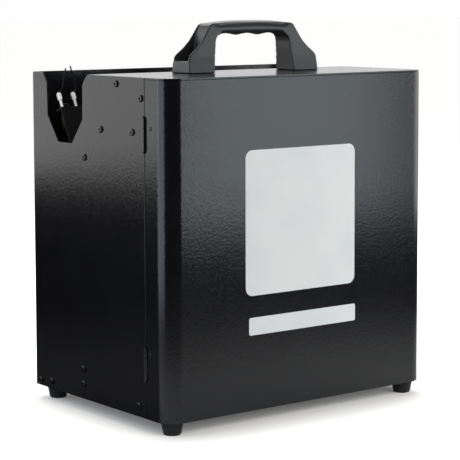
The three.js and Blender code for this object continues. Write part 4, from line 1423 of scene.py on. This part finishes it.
@dataclass
class FuelSide:
    """The rail's can sockets with their seals, the gas pipes with their flare nuts and the valves."""

    fasteners: Fasteners
    can_pitch: float = 105.0
    can_depth: float = 80.0
    rail_bottom: float = 262.0
    cup_height: float = 34.0
    pipe_height: float = 236.0
    valve_inlet: float = 226.0
    # Depths of a pipe's points behind its can, and then in front of its valve
    can_run: Place = (112.3, 128.7, 155.6)
    valve_run: Point = (156.4, 183.4)
    pipe_radius: float = 3.0
    nut_radius: float = 6.4
    nut_length: float = 9.0
    nut_depths: Point = (113.5, 173.5)
    rail_screws: Place = (52.5, 101.0, 264.0)
    seal: Profile = (
        (12.4, 2.2), (12.9, 1.2), (13.7, 0.8), (14.4, 1.4), (14.4, 4.2), (13.6, 4.8), (12.8, 4.4),
        (12.4, 3.4), (12.4, 2.2),
    )
    ring: Profile = (
        (18.6, 6.0), (19.8, 6.0), (20.2, 6.5), (20.2, 8.0), (19.6, 8.6), (20.2, 9.2), (20.2, 10.8),
        (19.6, 11.4), (20.2, 12.0), (20.2, 13.5), (19.8, 14.0), (18.6, 14.0), (18.6, 6.0),
    )

    def build(self) -> None:
        """Build the fuel side."""
        dress("valve_rail", "valve_rail_casting", 0.4)
        for step, (side, across) in enumerate(STATIONS.items(), -1):
            can = step * self.can_pitch
            place = (can, self.can_depth, self.rail_bottom - self.cup_height)
            settle(turned(f"{side}_can_seal", self.seal, place), "foot_rubber")
            settle(turned(f"{side}_socket_ring", self.ring, place, sides=48), "rail_aluminium")
            self.pipe(side, across, can)
            dress(f"{side}_solenoid_valve", f"{side}_valve_housing", 0.8)
            self.plug(side, across)
        x, y, z = self.rail_screws
        self.fasteners.row("rail_screws", Facing.UP, [(-x, y, z), (x, y, z)])

    def pipe(self, side: str, across: float, can: float) -> None:
        """Bend a station's gas pipe and put a flare nut at each end.

        Args:
            side: The station's name.
            across: The valve's place across the case.
            can: The can's place across the case.
        """
        start, through, leave = ((can, depth, self.pipe_height) for depth in self.can_run)
        arrive, end = ((across, depth, self.valve_inlet) for depth in self.valve_run)
        route = [start, *bezier((through, leave, arrive, end), 28)]
        pipe = tube(f"{side}_gas_pipe_bent", route, self.pipe_radius)
        settle(pipe, "copper", node=f"{side}_gas_pipe")
        ends = zip((can, across), self.nut_depths, (self.pipe_height, self.valve_inlet))
        nuts = [
            rod(f"{side}_nut_{index}", self.nut_radius, (x, y, z), (x, y + self.nut_length, z), 6)
            for index, (x, y, z) in enumerate(ends)
        ]
        assemble(f"{side}_flare_nuts", nuts, "brass", 0.6)

    def plug(self, side: str, across: float) -> None:
        """Put the square plug on a valve's coil.

        Args:
            side: The station's name.
            across: The valve's place across the case.
        """
        body = block(f"{side}_plug_body", (across - 9, 191.0, 184.0), (across + 9, 203.0, 192.5))
        soften(body, 1.2, 3)
        gland = rod(f"{side}_plug_gland", 3.4, (across, 183.0, 187.5), (across, 192.0, 187.5), 24)
        soften(gland, 0.6)
        assemble(f"{side}_valve_plug", [body, gland], "black_plastic")


@dataclass
class DoorFittings:
    """The door's fittings: the cam lock with the nut that holds it, and the hinge leaves."""

    depth: float = 22.0
    height: float = 160.0
    nut_span: Point = (156.9, 160.3)
    nut_radius: float = 10.8

    def build(self) -> None:
        """Dress the lock, put its nut on, and dress the leaves."""
        dress("lock_body", "lock_collar", 0.35, Body.DOOR, 3)
        dress("lock_cam", "lock_plug_and_cam", 0.2, Body.CAM)
        start, end = ((x, self.depth, self.height) for x in self.nut_span)
        nut = rod("lock_nut", self.nut_radius, start, end, 6)
        assemble("lock_nut", [nut], "plated_steel", 0.5, body=Body.DOOR)
        for level in ("lower", "upper"):
            dress(f"{level}_hinge_case_leaf", f"{level}_case_leaf_plate", 0.25)
            dress(f"{level}_hinge_door_leaf", f"{level}_door_leaf_plate", 0.25, Body.DOOR)


@dataclass
class SideScrews:
    """The screws of the side panels and the rivets that hold the hinge leaves."""

    fasteners: Fasteners
    panel_places: Profile = (
        (81.2, 312.9), (40.7, 300.7), (108.3, 268.3), (54.9, 268.5), (137.4, 239.4), (46.6, 10.4),
        (202.0, 7.6), (222.5, 5.6), (142.3, 15.0), (142.3, 30.0),
    )
    rivet_places: Profile = ((25.6, 273.2), (28.3, 61.8))

    def build(self) -> None:
        """Place the screws on both sides and the rivets on the door's left return."""
        half = CASE_WIDTH / 2
        for side, facing, x in (("left", Facing.LEFT, -half), ("right", Facing.RIGHT, half)):
            places = [(x, y, z) for y, z in self.panel_places]
            self.fasteners.row(f"{side}_panel_screws", facing, places, "powder_coat")
        places = [(-half, y, z) for y, z in self.rivet_places]
        self.fasteners.row(
            "door_hinge_rivets", Facing.LEFT, places, "powder_coat", rivets=True, body=Body.DOOR
        )


@dataclass
class RearControls:
    """What the rear panel carries: mains inlet and rocker, signal sockets, display and keys."""

    fasteners: Fasteners
    face: float = CASE_DEPTH
    inlet_face: float = 234.8
    inlet_floor: float = 218.8
    inlet_middle: Point = (100.0, 48.0)
    blades: Profile = ((82.0, 46.0), (96.0, 46.0), (89.0, 50.0))
    # Left, bottom, right and top of each frame on the panel, then the width of its bars
    lip: tuple[float, ...] = (76.0, 39.0, 102.0, 57.0, 0.9)
    rocker_bezel: tuple[float, ...] = (109.2, 37.2, 124.8, 58.8, 1.3)
    display_bezel: tuple[float, ...] = (43.0, 170.0, 109.0, 194.0, 2.4)
    trim_span: Point = (234.7, 235.6)
    bezel_span: Point = (231.9, 233.2)
    window: tuple[Place, Place] = ((45.2, 230.9, 172.2), (106.8, 231.8, 191.8))
    digit_height: float = 182.0
    digit_span: Point = (231.78, 231.86)
    socket_face: float = 234.3
    socket_floor: float = 219.3
    socket_height: float = 108.0
    socket_in: float = -44.0
    socket_out: float = -4.0
    contacts: Profile = ((-4.2, 1.4), (4.2, 1.4), (0.0, -4.0))
    pin: Profile = ((0.0, 0.0), (1.2, 0.0), (1.2, 10.8), (0.9, 11.7), (0.4, 12.1), (0.0, 12.2))
    insert: Profile = ((0.0, 0.0), (8.1, 0.0), (8.1, 1.8), (7.8, 2.1), (0.0, 2.1))
    digits: tuple[float, ...] = (95.5, 82.5, 69.5, 56.5)
    # Each bar of a digit: across and up from its middle, then its width and height
    bars: tuple[tuple[float, float, float, float], ...] = (
        (0.0, 6.0, 5.4, 1.2), (0.0, 0.0, 5.4, 1.2), (0.0, -6.0, 5.4, 1.2), (-3.6, 3.0, 1.2, 4.6),
        (3.6, 3.0, 1.2, 4.6), (-3.6, -3.0, 1.2, 4.6), (3.6, -3.0, 1.2, 4.6),
    )
    key_height: float = 155.0
    mark_height: float = 145.6
    mark_depth: float = 0.1
    key_ring: Profile = (
        (4.2, 0.0), (5.5, 0.0), (5.5, 0.6), (5.1, 0.9), (4.4, 0.9), (4.2, 0.7), (4.2, 0.0),
    )
    mark_ring: Profile = ((1.5, 0.0), (2.1, 0.0), (2.1, 0.12), (1.5, 0.12), (1.5, 0.0))
    keys: tuple[tuple[str, float, Body], ...] = (
        ("menu", 100.0, Body.MENU), ("down", 84.0, Body.DOWN), ("up", 68.0, Body.UP),
        ("enter", 52.0, Body.ENTER),
    )
    # From a socket's middle to its screws, and from the inlet's; then the screws of the panel
    socket_screws: Point = (9.5, 12.0)
    inlet_screws: float = 26.6
    panel_columns: tuple[float, ...] = (-130.0, -45.0, 45.0, 130.0)
    panel_rows: Point = (10.0, 252.0)

    def build(self) -> None:
        """Build the controls."""
        self.mains_inlet()
        self.mains_rocker()
        self.signal_input()
        self.signal_output()
        self.display()
        self.key_caps()
        self.key_marks()
        self.screws()

    def mains_inlet(self) -> None:
        """Dress the mains inlet, set its three blades and frame its mouth and its rocker."""
        dress("power_inlet", "inlet_housing", 0.5)
        low, high = self.inlet_floor - 0.2, self.inlet_floor + 11.5
        blades = [
            block(f"blade_{index}", (x - 1.0, low, z - 2.0), (x + 1.0, high, z + 2.0))
            for index, (x, z) in enumerate(self.blades)
        ]
        assemble("inlet_blades", blades, "plated_steel", 0.4)
        lip = ring_frame("inlet_lip", self.lip, self.trim_span)
        bezel = ring_frame("rocker_bezel", self.rocker_bezel, self.trim_span)
        assemble("inlet_trims", [lip, bezel], "black_plastic", 0.25)

    def mains_rocker(self) -> None:
        """Dress the rocker and print the line and the ring on its two halves."""
        dress("mains_rocker", "rocker_cap", 0.4, Body.ROCKER, 3)
        low, high = (234.64, 42.06), (233.66, 45.94)
        corners = [(116.5, *low), (117.5, *low), (117.5, *high), (116.5, *high)]
        line = prism("rocker_line", corners, (0.0, 0.12, 0.03))
        ring = turned("rocker_ring", self.mark_ring, (117.0, 233.09, 52.5), BACK)
        assemble("rocker_marks", [line, ring], "black_plastic", finish=PRINT, body=Body.ROCKER)

    def signal_input(self) -> None:
        """Dress the input socket and set its three pins."""
        dress("signal_in_socket", "signal_in_shell", 0.5)
        x, y, z = base = (self.socket_in, self.socket_floor - 0.1, self.socket_height)
        settle(turned("signal_in_insert", self.insert, base, BACK), "black_plastic")
        pins = [
            turned(f"pin_{index}", self.pin, (x + across, y, z + up), BACK, 16)
            for index, (across, up) in enumerate(self.contacts)
        ]
        assemble("signal_in_pins", pins, "plated_steel")

    def signal_output(self) -> None:
        """Dress the output socket, drill its insert for three pins and add the latch."""
        dress("signal_out_socket", "signal_out_shell", 0.5)
        x, z = self.socket_out, self.socket_height
        front, back = self.socket_face - 0.8, self.socket_floor - 0.1
        insert = rod("signal_out_insert", 8.0, (x, back, z), (x, front, z), 40)
        low, high = front - 9.0, front + 1.0
        holes = [
            rod(f"hole_{index}", 1.5, (x - across, low, z + up), (x - across, high, z + up), 16)
            for index, (across, up) in enumerate(self.contacts)
        ]
        assemble("signal_out_insert", [hollowed(insert, *holes)], "black_plastic", 0.25)
        low, high = (x - 3.0, self.socket_face - 0.1, z + 9.2), (x + 3.0, self.socket_face + 1.3, z + 13.4)
        assemble("signal_out_latch", [block("signal_out_latch", low, high)], "plated_steel", 0.5)

    def display(self) -> None:
        """Set the display's window, its unlit digits and the bezel round them."""
        window = block("display_window", *self.window)
        assemble("display_window", [window], "circuit_board", 0.2, finish=SMOKED_ACRYLIC)
        bars = []
        front, back = self.digit_span
        for middle in self.digits:
            for across, up, wide, tall in self.bars:
                x, z = middle + across, self.digit_height + up
                low = (x - wide / 2, front, z - tall / 2)
                bars.append(block(f"bar_{len(bars)}", low, (x + wide / 2, back, z + tall / 2)))
        assemble("display_digits", bars, "circuit_board", finish=UNLIT_SEGMENT)
        bezel = ring_frame("display_bezel", self.display_bezel, self.bezel_span)
        assemble("display_bezel", [bezel], "black_plastic", 0.5)

    def key_caps(self) -> None:
        """Dress the four keys and ring each of them."""
        rings = []
        for name, x, body in self.keys:
            dress(f"{name}_button", f"{name}_key_cap", 0.6, body, 3)
            rings.append(turned(f"{name}_ring", self.key_ring, (x, self.face, self.key_height), BACK))
        assemble("key_rings", rings, "black_plastic")

    def key_marks(self) -> None:
        """Print a plain mark below each key: bars, two arrows and a ring."""
        face, z = self.face, self.mark_height
        menu, down, up, enter = (x for _, x, _ in self.keys)
        left, right, out = menu - 2.4, menu + 2.4, face + self.mark_depth
        marks = [
            block(f"mark_{step}", (left, face, z + step - 0.4), (right, out, z + step + 0.4))
            for step in (-1.8, 0.0, 1.8)
        ]
        for name, x, way in (("down", down, -1), ("up", up, 1)):
            tip, base = z + 2.1 * way, z - 1.9 * way
            corners = [(x - 2.5, face, base), (x + 2.5, face, base), (x, face, tip)]
            marks.append(prism(f"{name}_mark", corners, (0.0, self.mark_depth, 0.0)))
        marks.append(turned("enter_mark", self.mark_ring, (enter, face, z), BACK))
        assemble("key_marks", marks, "powder_coat", finish=PRINT)

    def screws(self) -> None:
        """Screw down the sockets, the inlet and the panel."""
        across, up = self.socket_screws
        sockets = [
            (x + side * across, self.socket_face, self.socket_height + side * up)
            for x in (self.socket_in, self.socket_out)
            for side in (-1, 1)
        ]
        x, z = self.inlet_middle
        inlet = [(x + side * self.inlet_screws, self.inlet_face, z) for side in (-1, 1)]
        panel = [(x, self.face, z) for x in self.panel_columns for z in self.panel_rows]
        for name, places, scale, finish in (
            ("socket_screws", sockets, 0.55, BLACK_STEEL),
            ("inlet_screws", inlet, 0.6, BLACK_STEEL),
            ("rear_panel_screws", panel, 1.0, None),
        ):
            self.fasteners.row(name, Facing.REAR, places, "powder_coat", scale, finish=finish)


@dataclass
class RearBay:
    """The boxed units behind the bulkhead, with their terminals, components and wires."""

    fasteners: Fasteners
    outlets: tuple[float, ...] = (-20.0, 12.0, 44.0)
    outlet_depth: float = 144.5
    outlet_height: float = 194.0
    boot: Profile = (
        (2.1, 0.0), (5.6, 0.0), (5.6, 2.6), (5.0, 3.4), (3.7, 5.0), (3.2, 10.0), (2.6, 10.6), (2.1, 10.6),
        (2.1, 0.0),
    )
    poles: tuple[float, ...] = (155.0, 165.0, 175.0, 185.0, 195.0)
    supply_end: float = -28.4
    board_front: float = 218.6
    # Left edges of the relays, then their width, the depth and height of their low edge, and their top
    relays: tuple[float, ...] = (30.0, 50.0, 70.0)
    relay_width: float = 15.0
    relay_low: Point = (203.5, 178.0)
    relay_top: float = 197.0
    capacitors: Point = (100.0, 112.0)
    capacitor_low: Point = (206.0, 188.0)
    capacitor_radius: float = 4.0
    inlet_poles: Place = (94.0, 100.0, 106.0)
    wire_radius: float = 1.4

    def build(self) -> None:
        """Build what stands in the bay."""
        dress("ignition_module", "module_case", 0.8, segments=3)
        dress("power_supply", "supply_cover", 0.4)
        boots = [
            turned(f"boot_{index}", self.boot, (x, self.outlet_depth, self.outlet_height), sides=24)
            for index, x in enumerate(self.outlets)
        ]
        assemble("module_boots", boots, "lead_silicone")
        self.terminals()
        self.components()
        self.wires()

    def terminals(self) -> None:
        """Put the terminal row on the supply's end."""
        end = self.supply_end
        strip = block("terminal_strip", (end, 150.0, 4.0), (end + 11.0, 200.0, 13.0))
        walls = [
            block(f"terminal_wall_{index}", (end, y - 0.8, 12.9), (end + 11.0, y + 0.8, 17.5))
            for index, y in enumerate(range(150, 201, 10))
        ]
        assemble("supply_terminals", [strip, *walls], "black_plastic", 0.3)
        seats = [(end + 5.5, y, 13.0) for y in self.poles]
        self.fasteners.row("terminal_screws", Facing.UP, seats, scale=0.8)

    def components(self) -> None:
        """Solder the relays, capacitors and connectors to the front of the control board."""
        face = self.board_front
        relays = [
            block(f"relay_{x}", (x, *self.relay_low), (x + self.relay_width, face, self.relay_top))
            for x in self.relays
        ]
        chip = block("controller_chip", (60.0, 216.6, 150.0), (74.0, face, 164.0))
        sockets = block("board_connectors", (84.0, 208.5, 145.5), (124.0, face, 154.0))
        assemble("board_relays", [*relays, chip, sockets], "black_plastic", 0.5)
        low, z = self.capacitor_low
        cans = [
            rod(f"capacitor_{x}", self.capacitor_radius, (x, low, z), (x, face, z))
            for x in self.capacitors
        ]
        assemble("board_capacitors", cans, "rail_aluminium", 0.7, 3)

    def wires(self) -> None:
        """Run the mains wires from the inlet to the supply."""
        wires = []
        for x, y in zip(self.inlet_poles, self.poles):
            ends = ((x, 210.0, 44.0), (x, 186.0, 40.0), (10.0, y, 4.0), (self.supply_end + 9.0, y, 14.2))
            wires.append(tube(f"wire_{y}", bezier(ends, 24), self.wire_radius))
        assemble("mains_wires", wires, "lead_silicone")


def main() -> None:
    """Build the studio and the object, and report each piece."""
    Studio().build()
    CarriedNodes().build()
    CaseShell().build()
    DoorPrint().build()
    fasteners = Fasteners()
    SideScrews(fasteners).build()
    CarryHandle(fasteners).build()
    RubberFeet(fasteners).build()
    for side, across in STATIONS.items():
        BurnerStation(side, across).build()
    FuelSide(fasteners).build()
    DoorFittings().build()
    RearControls(fasteners).build()
    RearBay(fasteners).build()
    fasteners.put_away()


if __name__ == "__main__":
    main()
